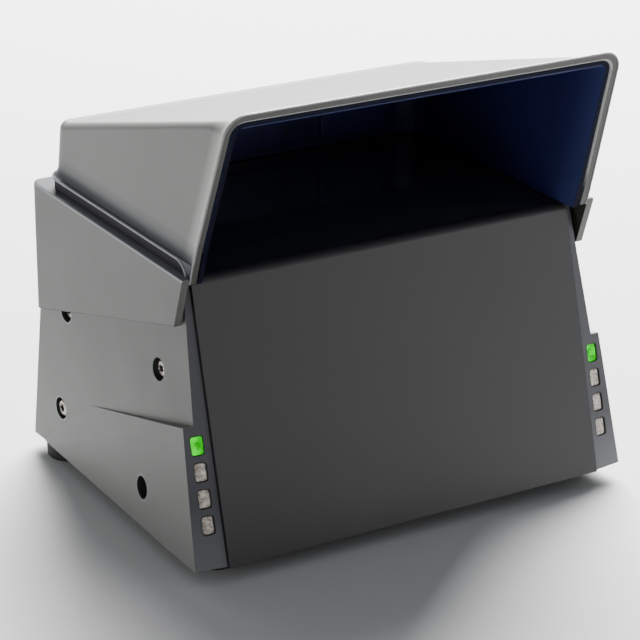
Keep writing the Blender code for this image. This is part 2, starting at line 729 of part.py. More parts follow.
def build_casing():
    body = profile_slab("casing", casing_profile(), CASE_HALF_WIDTH)

    def at_back_corner(a, b):
        level = abs(a.x - b.x) < CLEARANCE
        return level and min(a.y, b.y) > NECK_DEPTH - CLEARANCE and abs(a.z - b.z) > OVERRUN
    bevel_edges(body, at_back_corner, CASE_BACK_RADIUS)
    front = front_y(-OVERRUN) - OVERRUN
    high = RIDGE_HEIGHT + OVERRUN + OVERRUN
    cavity = profile_slab("cavity", cavity_profile(), INNER_HALF_WIDTH)
    opening = profile_slab("bezel_opening", [
        (front - OVERRUN, -OVERRUN - OVERRUN),
        (front_y(-OVERRUN) + STRIP_THICKNESS + OVERRUN, -OVERRUN - OVERRUN),
        (front_y(high) + STRIP_THICKNESS + OVERRUN, high),
        (front - OVERRUN, high)], SEAM_HALF_WIDTH)
    floor_cut = block(
        "floor_cut", (-POD_FOOT_HALF_WIDTH - OVERRUN, -OVERRUN - OVERRUN, -OVERRUN - OVERRUN),
        (POD_FOOT_HALF_WIDTH + OVERRUN, CASE_DEPTH + OVERRUN, 0))
    adds = []
    cuts = [cavity, opening, floor_cut]
    wells = []
    recesses = []
    holes = []
    for side in SIDES.values():
        adds.append(hull("pod", pod_points(side)))
        cuts.append(strip_trim(side))
        cuts.append(pod_pocket(side))
        holes_here = joined("window_holes", window_block(
            side, "window_hole", CLEARANCE, -OVERRUN, STRIP_THICKNESS + OVERRUN))
        cuts.append(moved(holes_here, strip_frame(side)))
        for y, z in SIDE_SCREWS.values():
            wide_hole, narrow_hole = screw_recess(side, y, z)
            recesses.append(wide_hole)
            holes.append(narrow_hole)
            wells.append(rod(
                "well", SCREW_RECESS_RADIUS + SCREW_WELL_WALL, (side * SCREW_WELL_X, y, z),
                (side * (CASE_HALF_WIDTH - CLEARANCE), y, z)))
    node("casing", body, finish("casing", GREY, 0.5), adds, cuts,
         fittings=[joined("wells", wells)],
         bores=[joined("screw_recesses", recesses), joined("screw_holes", holes),
                joined("rear_openings", rear_openings())])


def rear_openings():
    back = CASE_DEPTH + OVERRUN
    front = MAIN_BOARD_BACK + CLEARANCE
    shapes = []
    for left in (USB_LEFT, POWER_LEFT):
        shapes.append(block(
            "socket_hole",
            (left - CLEARANCE, front, SOCKET_BOTTOM - CLEARANCE),
            (left + SOCKET_WIDTH + CLEARANCE, back, SOCKET_BOTTOM + SOCKET_HEIGHT + CLEARANCE)))
    shapes.append(block(
        "lock_slot", (LOCK_LEFT, front, LOCK_BOTTOM),
        (LOCK_LEFT + LOCK_WIDTH, back, LOCK_BOTTOM + LOCK_HEIGHT)))
    return shapes


# Front bezel

def build_bezel():
    proud = BEZEL_PROUD / math.cos(FRONT_LEAN)
    inner = (BEZEL_WALL - BEZEL_PROUD) / math.cos(FRONT_LEAN)
    top_back = RIDGE_Y + BEZEL_TOP_DEPTH - CLEARANCE
    inner_top = deck_z(top_back, -BEZEL_WALL)
    corners = [
        (-proud, 0, 0),
        (inner, 0, 0),
        (front_y(inner_top) + inner, inner_top, 0),
        (top_back, inner_top, 0),
        (top_back, deck_z(top_back), 0),
        (RIDGE_Y, RIDGE_HEIGHT, BEZEL_RIDGE_RADIUS),
    ]
    body = profile_slab("front_bezel", rounded(corners), SEAM_HALF_WIDTH - CLEARANCE)

    def on_face_edge(a, b):
        same_side = abs(a.x - b.x) < CLEARANCE
        ahead = all(p.y < front_y(p.z) - proud / 2 for p in (a, b))
        return same_side and ahead
    bevel_edges(body, on_face_edge, BEZEL_EDGE_RADIUS, steps=3)
    node("front_bezel", body, finish("front_bezel", CHARCOAL, 0.45))


# Deck: frame, gasket, glass and antenna

def build_deck():
    half = INNER_HALF_WIDTH - CLEARANCE
    front = RIDGE_Y + BEZEL_TOP_DEPTH
    back = NECK_WALL_Y - CLEARANCE
    frame_low = front_y(RIDGE_HEIGHT) + STRIP_THICKNESS + CLEARANCE
    frame = deck_slab("deck_frame", rectangle(half, max(front, frame_low), back),
                      -DECK_THICKNESS, 0)
    rebate = deck_slab(
        "rebate", rectangle(GLASS_HALF_WIDTH + CLEARANCE, GLASS_FRONT - CLEARANCE,
                            GLASS_BACK + CLEARANCE, GLASS_RADIUS + CLEARANCE),
        -DECK_THICKNESS + DECK_LEDGE_THICKNESS, OVERRUN)
    window = deck_slab(
        "window", rectangle(GLASS_HALF_WIDTH - LEDGE_WIDTH, GLASS_FRONT + LEDGE_WIDTH,
                            GLASS_BACK - LEDGE_WIDTH, GLASS_RADIUS),
        -DECK_THICKNESS - OVERRUN, OVERRUN)
    node("deck_frame", frame, finish("deck_frame", CHARCOAL, 0.5), cuts=[rebate, window])

    glass_top = -GLASS_RECESS
    glass_low = glass_top - GLASS_THICKNESS
    glass = deck_slab("document_glass", rectangle(
        GLASS_HALF_WIDTH, GLASS_FRONT, GLASS_BACK, GLASS_RADIUS), glass_low, glass_top)
    node("document_glass", glass, finish("document_glass", (0.02, 0.03, 0.03), 0.05))

    ledge_top = -DECK_THICKNESS + DECK_LEDGE_THICKNESS
    gasket = deck_slab("glass_gasket", rectangle(
        GLASS_HALF_WIDTH, GLASS_FRONT, GLASS_BACK, GLASS_RADIUS),
        ledge_top + CLEARANCE, glass_low - CLEARANCE)
    hole = deck_slab("gasket_hole", rectangle(
        GLASS_HALF_WIDTH - LEDGE_WIDTH, GLASS_FRONT + LEDGE_WIDTH,
        GLASS_BACK - LEDGE_WIDTH, GLASS_RADIUS), -DECK_THICKNESS, OVERRUN)
    node("glass_gasket", gasket, finish("glass_gasket", (0.01, 0.01, 0.01), 0.8), cuts=[hole])

    board_top = -DECK_THICKNESS - CLEARANCE
    board = deck_slab("antenna_board", rectangle(
        CHASSIS_HALF_WIDTH, CHASSIS_START, GLASS_BACK - LEDGE_WIDTH + ANTENNA_WIDTH),
        board_top - ANTENNA_THICKNESS, board_top)
    board_hole = deck_slab("antenna_hole", rectangle(
        GLASS_HALF_WIDTH - LEDGE_WIDTH - CLEARANCE, CHASSIS_START + ANTENNA_WIDTH,
        GLASS_BACK - LEDGE_WIDTH - CLEARANCE, GLASS_RADIUS),
        board_top - ANTENNA_THICKNESS - OVERRUN, OVERRUN)
    node("antenna_board", board, finish("antenna_board", BOARD_GREEN, 0.4), cuts=[board_hole])


# Hood, liner and collar

BACK_TURNS = tuple(math.radians(turn) for turn in (22.5, 45, 67.5, 90))


def hood_stations():
    """The hood's sections, front to back: y and z of the top line, lean, half widths at the
    top, the wall and the lip, and the radius of the top corners."""
    rim = (
        -HOOD_OVERHANG, HOOD_RIM_HEIGHT, HOOD_RIM_LEAN, HOOD_RIM_HALF_WIDTH,
        HOOD_RIM_WALL_HALF_WIDTH, HOOD_RIM_LIP_HALF_WIDTH, HOOD_RIM_RADIUS)
    back_top = HOOD_BACK_DEPTH - HOOD_CORNER_RADIUS
    back = (
        back_top, HOOD_BACK_HEIGHT, HOOD_BACK_LEAN, HOOD_BACK_HALF_WIDTH,
        HOOD_BACK_WALL_HALF_WIDTH, HOOD_BACK_LIP_HALF_WIDTH, HOOD_BACK_RADIUS)

    def between(share, pull, radius):
        y, z, lean, half_top, half_wall, half_lip, _ = (
            a + (b - a) * share for a, b in zip(rim, back))
        return y, z - pull, lean, half_top - pull / 2, half_wall - pull / 2, half_lip, radius

    run = back_top + HOOD_OVERHANG
    yield rim
    for flare_share in HOOD_FLARE_SHARES:
        radius = HOOD_RIM_RADIUS + (HOOD_BACK_RADIUS - HOOD_RIM_RADIUS) * flare_share
        yield between(HOOD_RIM_FLARE_LENGTH * flare_share / run,
                      HOOD_RIM_FLARE * math.sqrt(flare_share), radius)
    yield between(HOOD_MIDDLE_SHARE, HOOD_RIM_FLARE / 2, HOOD_BACK_RADIUS)
    yield back
    for angle in BACK_TURNS:
        turn = 1 - math.cos(angle)
        inset = HOOD_CORNER_RADIUS * turn
        yield (
            back_top + HOOD_CORNER_RADIUS * math.sin(angle),
            HOOD_BACK_HEIGHT - HOOD_BACK_RADIUS * turn, HOOD_BACK_LEAN,
            HOOD_BACK_HALF_WIDTH - inset, HOOD_BACK_WALL_HALF_WIDTH - inset,
            HOOD_BACK_LIP_HALF_WIDTH - inset, HOOD_BACK_RADIUS)


def hood_ring(station, inset, low_rise, lip=True):
    """One section of the hood as a ring of points, from its left foot over to its right."""
    y_top, z_top, lean, half_top, half_wall, half_lip, radius = station
    slope = math.tan(lean)
    tilt = math.tan(DECK_TILT)

    def at(z):
        return y_top + (z_top - z) * slope

    def on_deck(rise):
        return (RIDGE_HEIGHT + rise + tilt * (at(0) - RIDGE_Y)) / (1 + tilt * slope)
    crown = z_top - inset
    half_top = half_top - inset
    half_wall = half_wall - inset
    half_lip = half_lip - inset if lip else half_wall
    radius = max(radius - inset, radius / 4)
    side = [
        (half_lip, on_deck(low_rise)), (half_lip, on_deck(HOOD_LIP_RISE + HOOD_LIP_HEIGHT)),
        (half_wall, on_deck(HOOD_LIP_RISE + HOOD_LIP_FILLET_HEIGHT))]
    for step in range(ARC_STEPS + 1):
        angle = math.radians(90) * step / ARC_STEPS
        side.append((
            half_top - radius + radius * math.cos(angle),
            crown - radius + radius * math.sin(angle)))
    ring = [(-x, at(z), z) for x, z in side]
    ring += [(x, at(z), z) for x, z in reversed(side)]
    return ring


def hood_shell(name, inset, low_rise, setback=0.0, lip=True):
    """A solid of the hood's outer form drawn in by an inset, its front set back or carried on."""
    stations = list(hood_stations())
    rings = []
    for index, station in enumerate(stations):
        behind = index >= len(stations) - len(BACK_TURNS) - 1
        shift = Vector((0, -inset if behind else 0, 0))
        rings.append([Vector(point) + shift for point in hood_ring(station, inset, low_rise, lip)])
    share = setback / (stations[1][0] - stations[0][0])
    rings[0] = [a + (b - a) * share for a, b in zip(rings[0], rings[1])]
    return loft(name, rings)


def hood_outline(rim_half, back_half, inset, front):
    """A plan outline of the hood from its half widths, drawn in by an inset."""
    lip_height = deck_z(HOOD_BACK_DEPTH, HOOD_LIP_RISE)
    back = HOOD_BACK_DEPTH + (HOOD_BACK_HEIGHT - lip_height) * math.tan(HOOD_BACK_LEAN)
    rim = rim_y(lip_height)

    def half_at(y):
        share = (y - rim) / (back - rim)
        return rim_half + (back_half - rim_half) * share - inset
    return rounded([
        (-half_at(front), front, 0), (half_at(front), front, 0),
        (half_at(back), back - inset, HOOD_CORNER_RADIUS),
        (-half_at(back), back - inset, HOOD_CORNER_RADIUS)])


def build_hood():
    outer = hood_shell("hood", 0.0, HOOD_LEG_RISE)
    inner = hood_shell("hood_inside", HOOD_WALL, -OVERRUN, setback=-OVERRUN, lip=False)
    far = HOOD_BACK_DEPTH + OVERRUN * 3
    slot = profile_slab("lip_slot", rounded([
        (HOOD_LEG_DEPTH, deck_z(HOOD_LEG_DEPTH, -OVERRUN * 2), 0),
        (far, deck_z(far, -OVERRUN * 2), 0),
        (far, deck_z(far, HOOD_LIP_RISE), 0),
        (HOOD_LEG_DEPTH, deck_z(HOOD_LEG_DEPTH, HOOD_LIP_RISE), HOOD_LEG_RADIUS)]),
        COLLAR_HALF_WIDTH + OVERRUN)
    hood = node("hood", outer, finish("hood", GREY, 0.5), cuts=[inner, slot], parent=HOOD_LIFT)
    shade_round(hood)


def build_liner():
    inset = HOOD_WALL + CLEARANCE
    outer = hood_shell("hood_liner", inset, LINER_RISE, setback=LINER_SETBACK, lip=False)
    foot = COLLAR_TOP_RISE + CLEARANCE
    points = []
    for step in range(ARC_STEPS + 1):
        rise = foot + (HOOD_LIP_RISE - CLEARANCE - foot) * step / ARC_STEPS
        reach = HOOD_LEG_RADIUS - CLEARANCE
        front = HOOD_LEG_DEPTH + HOOD_LEG_RADIUS - math.sqrt(
            reach ** 2 - (rise - HOOD_LIP_RISE + HOOD_LEG_RADIUS) ** 2)
        outline = hood_outline(
            HOOD_RIM_LIP_HALF_WIDTH, HOOD_BACK_LIP_HALF_WIDTH, FLANGE_INSET, front)
        points += [(x, y, deck_z(y, rise)) for x, y in outline]
    flange = hull("flange", points)
    inner = hood_shell(
        "liner_inside", inset + LINER_WALL, -OVERRUN, setback=-OVERRUN, lip=False)
    node("hood_liner", outer, finish("hood_liner", NAVY_BLACK, 0.6),
         adds=[flange], cuts=[inner], parent=HOOD_LIFT)


def build_collar():
    top_front = rim_y(deck_z(rim_y(RIDGE_HEIGHT), COLLAR_TOP_RISE))
    profile = [
        (rim_y(COLLAR_FRONT_HEIGHT), COLLAR_FRONT_HEIGHT),
        (COLLAR_BACK, collar_foot_z(COLLAR_BACK)),
        (COLLAR_BACK, deck_z(COLLAR_BACK, COLLAR_TOP_RISE)),
        (top_front, deck_z(top_front, COLLAR_TOP_RISE)),
    ]
    body = profile_slab("hood_collar", profile, COLLAR_HALF_WIDTH)

    def back_corner(a, b):
        upright = abs(a.z - b.z) > OVERRUN
        return upright and min(a.y, b.y) > NECK_DEPTH

    def top_edge(a, b):
        high = all(p.z > deck_z(p.y, COLLAR_TOP_RISE) - CLEARANCE for p in (a, b))
        outward = all(
            abs(p.x) > COLLAR_HALF_WIDTH - COLLAR_BACK_RADIUS - CLEARANCE
            or p.y > COLLAR_BACK - CLEARANCE for p in (a, b))
        across_front = max(a.y, b.y) < NECK_DEPTH / 2
        return high and outward and not across_front
    bevel_edges(body, back_corner, COLLAR_BACK_RADIUS)
    bevel_edges(body, top_edge, COLLAR_EDGE_RADIUS, steps=2)
    half = CASE_HALF_WIDTH + CLEARANCE
    ahead = top_front - OVERRUN * 2
    under = COLLAR_TOP_RISE - COLLAR_SHOULDER
    inner_back = NECK_DEPTH + CLEARANCE
    inside = profile_slab("collar_inside", [
        (ahead, deck_z(ahead, -RIDGE_HEIGHT)),
        (inner_back, deck_z(inner_back, -RIDGE_HEIGHT)),
        (inner_back, deck_z(inner_back, under)),
        (ahead, deck_z(ahead, under))], half)
    leg_back = HOOD_LEG_DEPTH + CLEARANCE
    legs = profile_slab("leg_room", [
        (ahead, deck_z(ahead, -OVERRUN)), (leg_back, deck_z(leg_back, -OVERRUN)),
        (leg_back, deck_z(leg_back, OVERRUN * 2)), (ahead, deck_z(ahead, OVERRUN * 2))], half)
    opening = deck_slab("collar_opening", hood_outline(
        HOOD_RIM_WALL_HALF_WIDTH, HOOD_BACK_WALL_HALF_WIDTH, HOOD_WALL,
        HOOD_LEG_DEPTH - OVERRUN), -OVERRUN, OVERRUN * 2)
    node("hood_collar", body, finish("hood_collar", GREY, 0.5),
         cuts=[inside, legs, opening], parent=HOOD_LIFT)


# Indicators

def build_indicators():
    for side_name, side in SIDES.items():
        board_low = WINDOW_FIRST_HEIGHT - WINDOW_PITCH / 2
        board_high = WINDOW_FIRST_HEIGHT + (WINDOW_COUNT - 0.5) * WINDOW_PITCH
        near = STRIP_THICKNESS + CLEARANCE
        middle = side * WINDOW_OFFSET
        half = INDICATOR_BOARD_WIDTH / 2
        board = block(
            "indicator_board", (middle - half, near, board_low),
            (middle + half, near + INDICATOR_BOARD_THICKNESS, board_high))
        node("indicator_board_" + side_name, board,
             finish("indicator_board_" + side_name, BOARD_GREEN, 0.4), place=strip_frame(side))
        windows = window_block(side, "indicator_window", 0.0, WINDOW_RECESS, STRIP_THICKNESS)
        for index, window in enumerate(reversed(windows)):
            name = "indicator_window_%s_%d" % (side_name, index + 1)
            lit = (0.03, 0.72, 0.05)
            unlit = (0.42, 0.37, 0.34)
            node(name, window, finish(name, lit if index == 0 else unlit, 0.35),
                 place=strip_frame(side))


# Chassis and optics

def build_chassis():
    top_front = deck_z(CHASSIS_START, -CHASSIS_DROP)
    top_back = deck_z(CHASSIS_BACK, -CHASSIS_DROP)
    body = profile_slab("chassis", [
        (CHASSIS_START, CHASSIS_FLOOR_HEIGHT), (CHASSIS_BACK, CHASSIS_FLOOR_HEIGHT),
        (CHASSIS_BACK, top_back), (CHASSIS_START, top_front)], CHASSIS_HALF_WIDTH)
    front = CHASSIS_START + CHASSIS_WALL
    back = CHASSIS_BACK - CHASSIS_WALL
    hollow = profile_slab("chassis_hollow", [
        (front, CHASSIS_FLOOR_TOP), (back, CHASSIS_FLOOR_TOP),
        (back, RIDGE_HEIGHT + OVERRUN), (front, RIDGE_HEIGHT + OVERRUN)],
        CHASSIS_HALF_WIDTH - CHASSIS_WALL)
    adds = []
    pilots = []
    reach = SCREW_WELL_X - CLEARANCE
    for side in SIDES.values():
        for y, z in SIDE_SCREWS.values():
            root = side * (CHASSIS_HALF_WIDTH - CHASSIS_WALL / 2)
            adds.append(rod("side_boss", SIDE_BOSS_RADIUS, (root, y, z), (side * reach, y, z),
                            SMALL_SIDES))
            pilots.append(rod(
                "pilot", SCREW_SHANK_RADIUS + CLEARANCE,
                (side * (SCREW_SEAT_X - SCREW_SHANK_LENGTH), y, z),
                (side * (reach + OVERRUN), y, z), SMALL_SIDES))
        for z in BACK_BOSS_HEIGHTS:
            x = side * BACK_BOSS_HALF_SPAN
            adds.append(rod(
                "back_boss", BACK_BOSS_RADIUS, (x, CHASSIS_BACK - CHASSIS_WALL / 2, z),
                (x, CHASSIS_BACK + BACK_BOSS_LENGTH, z), SMALL_SIDES))
        for y in BASE_SCREW_DEPTHS:
            x = side * BASE_SCREW_HALF_SPAN
            adds.append(block(
                "pad", (x - PAD_HALF_SIZE, y - PAD_HALF_SIZE, BASE_TOP + CLEARANCE),
                (x + PAD_HALF_SIZE, y + PAD_HALF_SIZE, CHASSIS_FLOOR_TOP - CHASSIS_WALL / 2)))
            pilots.append(rod(
                "base_pilot", SCREW_SHANK_RADIUS + CLEARANCE, (x, y, -OVERRUN),
                (x, y, CHASSIS_FLOOR_TOP - CHASSIS_WALL / 4), SMALL_SIDES))
    lens_hole = rod(
        "lens_hole", BARREL_RADIUS + CLEARANCE, (0, CHASSIS_START - OVERRUN, CAMERA_HEIGHT),
        (0, front + OVERRUN, CAMERA_HEIGHT))
    node("chassis", body, finish("chassis", (0.012, 0.012, 0.012), 0.6),
         adds=adds, cuts=[hollow, joined("pilots", pilots), lens_hole])


def bracket_line():
    """The bracket's bends, on the middle of its sheet: foot, incline and back flange."""
    half = BRACKET_SHEET / 2
    foot_y = CHASSIS_START + BRACKET_FOOT_START
    foot_z = CHASSIS_FLOOR_TOP + CLEARANCE + half
    back = CHASSIS_BACK - CHASSIS_WALL - CLEARANCE - half
    return [
        (foot_y, foot_z), (foot_y + BRACKET_FOOT_LENGTH, foot_z),
        (back, foot_z + BRACKET_RISE), (back, foot_z + BRACKET_RISE - BRACKET_FLANGE)]


def sheet_strip(name, line, half_width, thickness, material):
    """A thin sheet bent along a line in y and z."""
    bm = bmesh.new()
    near = [bm.verts.new((-half_width, y, z)) for y, z in line]
    edges = [bm.edges.new(pair) for pair in zip(near, near[1:])]
    drawn = bmesh.ops.extrude_edge_only(bm, edges=edges)["geom"]
    far = [item for item in drawn if isinstance(item, bmesh.types.BMVert)]
    bmesh.ops.translate(bm, verts=far, vec=(half_width * 2, 0, 0))
    made = node(name, as_mesh(name, bm), material)
    thick = made.modifiers.new("sheet", "SOLIDIFY")
    thick.thickness = thickness
    thick.offset = 0.0
    thick.use_even_offset = True
    return made


def build_mirror():
    line = bracket_line()
    sheet_strip("mirror_bracket", line, BRACKET_HALF_WIDTH, BRACKET_SHEET,
                finish("mirror_bracket", (0.35, 0.36, 0.37), 0.4, 1.0))
    start, end = Vector(line[1]), Vector(line[2])
    angle = math.atan2(end.y - start.y, end.x - start.x)
    centre = (start + end) / 2
    half_length = (end - start).length / 2 - MIRROR_END_MARGIN
    lift = BRACKET_SHEET / 2 + CLEARANCE
    glass = block(
        "mirror", (-MIRROR_HALF_WIDTH, -half_length, lift),
        (MIRROR_HALF_WIDTH, half_length, lift + MIRROR_THICKNESS))
    place = (
        Matrix.Translation((0, centre.x, centre.y)) @ Matrix.Rotation(angle, 4, "X"))
    node("mirror", glass, finish("mirror", (0.8, 0.8, 0.8), 0.03, 1.0), place=place)


def build_camera():
    z = CAMERA_HEIGHT
    holder_back = CHASSIS_START - CLEARANCE
    holder = block(
        "lens_holder", (-HOLDER_HALF_SIZE, HOLDER_FRONT, z - HOLDER_HALF_SIZE),
        (HOLDER_HALF_SIZE, holder_back, z + HOLDER_HALF_SIZE))
    bore = rod("holder_bore", BARREL_RADIUS + CLEARANCE,
               (0, HOLDER_FRONT - OVERRUN, z), (0, holder_back + OVERRUN, z))
    node("lens_holder", holder, finish("lens_holder", (0.02, 0.02, 0.02), 0.5), cuts=[bore])

    barrel_back = CHASSIS_START + CHASSIS_WALL + BARREL_REACH
    barrel_front = barrel_back - BARREL_LENGTH
    barrel = rod("lens_barrel", BARREL_RADIUS, (0, barrel_front, z), (0, barrel_back, z))
    barrel_bore = rod("barrel_bore", BARREL_BORE_RADIUS,
                      (0, barrel_front - OVERRUN, z), (0, barrel_back + OVERRUN, z))
    shade_round(node("lens_barrel", barrel, finish("lens_barrel", (0.015, 0.015, 0.015), 0.3),
                     cuts=[barrel_bore]))
    lens_back = barrel_back - LENS_SETBACK
    lens = rod("lens", BARREL_BORE_RADIUS - CLEARANCE,
               (0, lens_back - LENS_THICKNESS, z), (0, lens_back, z))
    shade_round(node("lens", lens, finish("lens", (0.05, 0.05, 0.12), 0.05)))

    sensor_front = HOLDER_FRONT
    sensor = block(
        "image_sensor", (-SENSOR_HALF_SIZE, sensor_front, z - SENSOR_HALF_SIZE),
        (SENSOR_HALF_SIZE, sensor_front + SENSOR_THICKNESS, z + SENSOR_HALF_SIZE))
    node("image_sensor", sensor, finish("image_sensor", (0.05, 0.03, 0.08), 0.2))
    board = block(
        "camera_board",
        (-CAMERA_BOARD_HALF_WIDTH, CAMERA_BOARD_BACK - BOARD_THICKNESS,
         z - CAMERA_BOARD_HALF_HEIGHT),
        (CAMERA_BOARD_HALF_WIDTH, CAMERA_BOARD_BACK, z + CAMERA_BOARD_HALF_HEIGHT))
    node("camera_board", board, finish("camera_board", BOARD_GREEN, 0.4))


def build_lights():
    wall = CHASSIS_HALF_WIDTH - CHASSIS_WALL
    start = CHASSIS_START + LIGHT_BOARD_START
    end = start + LIGHT_BOARD_LENGTH
    low, high = LIGHT_BOARD_BOTTOM, LIGHT_BOARD_BOTTOM + LIGHT_BOARD_HEIGHT
    board_x = wall - CLEARANCE - BOARD_THICKNESS
    lamp_x = board_x - LAMP_HEIGHT
    cover_in = lamp_x - DIFFUSER_GAP
    cover_out = cover_in - DIFFUSER_WALL
    for side_name, side in SIDES.items():
        def both(name, x_a, x_b, y_a, y_b, z_a, z_b, flip=side):
            ends = sorted((flip * x_a, flip * x_b))
            return block(name, (ends[0], y_a, z_a), (ends[1], y_b, z_b))
        board = both("light_board", board_x, wall - CLEARANCE, start, end, low, high)
        lamps = []
        pitch = LIGHT_BOARD_LENGTH / LAMP_COUNT
        middle = (low + high) / 2
        for index in range(LAMP_COUNT):
            y = start + (index + 0.5) * pitch
            lamps.append(both(
                "lamp_%d" % index, lamp_x, board_x + BOARD_THICKNESS / 2,
                y - LAMP_SIZE / 2, y + LAMP_SIZE / 2,
                middle - LAMP_SIZE / 2, middle + LAMP_SIZE / 2))
        node("light_board_" + side_name, board,
             finish("light_board_" + side_name, (0.75, 0.75, 0.72), 0.4), adds=lamps)
        rim = DIFFUSER_WALL + CLEARANCE
        cover = both("diffuser", cover_out, wall - CLEARANCE, start - rim, end + rim,
                     low - rim, high + rim)
        room = both("diffuser_room", cover_in, wall + OVERRUN, start - CLEARANCE,
                    end + CLEARANCE, low - CLEARANCE, high + CLEARANCE)
        node("diffuser_" + side_name, cover,
             finish("diffuser_" + side_name, (0.8, 0.8, 0.8), 0.5), cuts=[room])


# Boards at the back and side

def build_main_board():
    low, high = MAIN_BOARD_BOTTOM, MAIN_BOARD_TOP
    board = block("main_board", (-MAIN_BOARD_HALF_WIDTH, MAIN_BOARD_FRONT, low),
                  (MAIN_BOARD_HALF_WIDTH, MAIN_BOARD_BACK, high))
    node("main_board", board, finish("main_board", BOARD_GREEN, 0.4))
    face = MAIN_BOARD_BACK + CLEARANCE
    shield = block("shield_can", (SHIELD_LEFT, face, low + SHIELD_END_MARGIN),
                   (SHIELD_LEFT + SHIELD_WIDTH, face + SHIELD_THICKNESS,
                    high - SHIELD_END_MARGIN))
    node("shield_can", shield, finish("shield_can", (0.6, 0.6, 0.6), 0.35, 1.0))

    top = SOCKET_BOTTOM + SOCKET_HEIGHT
    mouth = back_y(top) - SOCKET_INSET
    usb = block("usb_socket", (USB_LEFT, face, SOCKET_BOTTOM),
                (USB_LEFT + SOCKET_WIDTH, mouth, top))
    hollow = block(
        "usb_hollow",
        (USB_LEFT + USB_MOUTH_MARGIN, mouth - USB_MOUTH_DEPTH,
         SOCKET_BOTTOM + USB_MOUTH_MARGIN),
        (USB_LEFT + SOCKET_WIDTH - USB_MOUTH_MARGIN, mouth + OVERRUN, top - USB_MOUTH_MARGIN))
    node("usb_socket", usb, finish("usb_socket", (0.6, 0.6, 0.6), 0.3, 1.0), cuts=[hollow])

    power = block("power_socket", (POWER_LEFT, face, SOCKET_BOTTOM),
                  (POWER_LEFT + SOCKET_WIDTH, mouth, top))
    x = POWER_LEFT + SOCKET_WIDTH / 2
    z = SOCKET_BOTTOM + SOCKET_HEIGHT / 2
    floor = mouth - POWER_BORE_DEPTH
    bore = turned("power_bore", [
        (0, POWER_BORE_DEPTH + OVERRUN), (POWER_BORE_RADIUS, POWER_BORE_DEPTH + OVERRUN),
        (POWER_BORE_RADIUS, 0), (POWER_PIN_RADIUS, 0), (POWER_PIN_RADIUS, POWER_PIN_LENGTH),
        (0, POWER_PIN_LENGTH)], SMALL_SIDES)
    place = Matrix.Translation((x, floor, z)) @ Matrix.Rotation(math.radians(-90), 4, "X")
    node("power_socket", power, finish("power_socket", (0.02, 0.02, 0.02), 0.4),
         cuts=[moved(bore, place)])


def build_small_boards():
    x = -(CHASSIS_HALF_WIDTH + CLEARANCE)
    start = CHASSIS_START + RADIO_BOARD_START
    low = RADIO_BOARD_BOTTOM
    board = block("radio_board", (x - BOARD_THICKNESS, start, low),
                  (x, start + RADIO_BOARD_LENGTH, low + RADIO_BOARD_HEIGHT))
    chips = []
    for index, share in enumerate(CHIP_SHARES):
        y = start + RADIO_BOARD_LENGTH * share
        z = low + RADIO_BOARD_HEIGHT / 2
        chips.append(block(
            "chip_%d" % index,
            (x - BOARD_THICKNESS - CHIP_HEIGHT, y - CHIP_SIZE / 2, z - CHIP_SIZE / 2),
            (x - BOARD_THICKNESS / 2, y + CHIP_SIZE / 2, z + CHIP_SIZE / 2)))
    node("radio_board", board, finish("radio_board", BOARD_GREEN, 0.4), adds=chips)

    base = BASE_TOP + CLEARANCE
    top = base + BUZZER_HEIGHT
    buzzer = rod("buzzer", BUZZER_RADIUS, (BUZZER_X, BUZZER_Y, base), (BUZZER_X, BUZZER_Y, top))
    port = rod("buzzer_port", BUZZER_PORT_RADIUS, (BUZZER_X, BUZZER_Y, top - BUZZER_PORT_DEPTH),
               (BUZZER_X, BUZZER_Y, top + OVERRUN), SMALL_SIDES)
    shade_round(node("buzzer", buzzer, finish("buzzer", (0.01, 0.01, 0.01), 0.5), cuts=[port]))

    under = (BASE_TOP + CHASSIS_FLOOR_HEIGHT) / 2
    camera_y = CAMERA_BOARD_BACK - BOARD_THICKNESS / 2
    main_y = (MAIN_BOARD_FRONT + MAIN_BOARD_BACK) / 2
    line = [
        (camera_y, CAMERA_HEIGHT - CAMERA_BOARD_HALF_HEIGHT - CLEARANCE),
        (camera_y, under), (main_y, under), (main_y, MAIN_BOARD_BOTTOM - CLEARANCE)]
    sheet_strip("ribbon_cable", line, RIBBON_HALF_WIDTH, RIBBON_THICKNESS,
                finish("ribbon_cable", (0.75, 0.72, 0.65), 0.5))


# Base plate, feet and screws

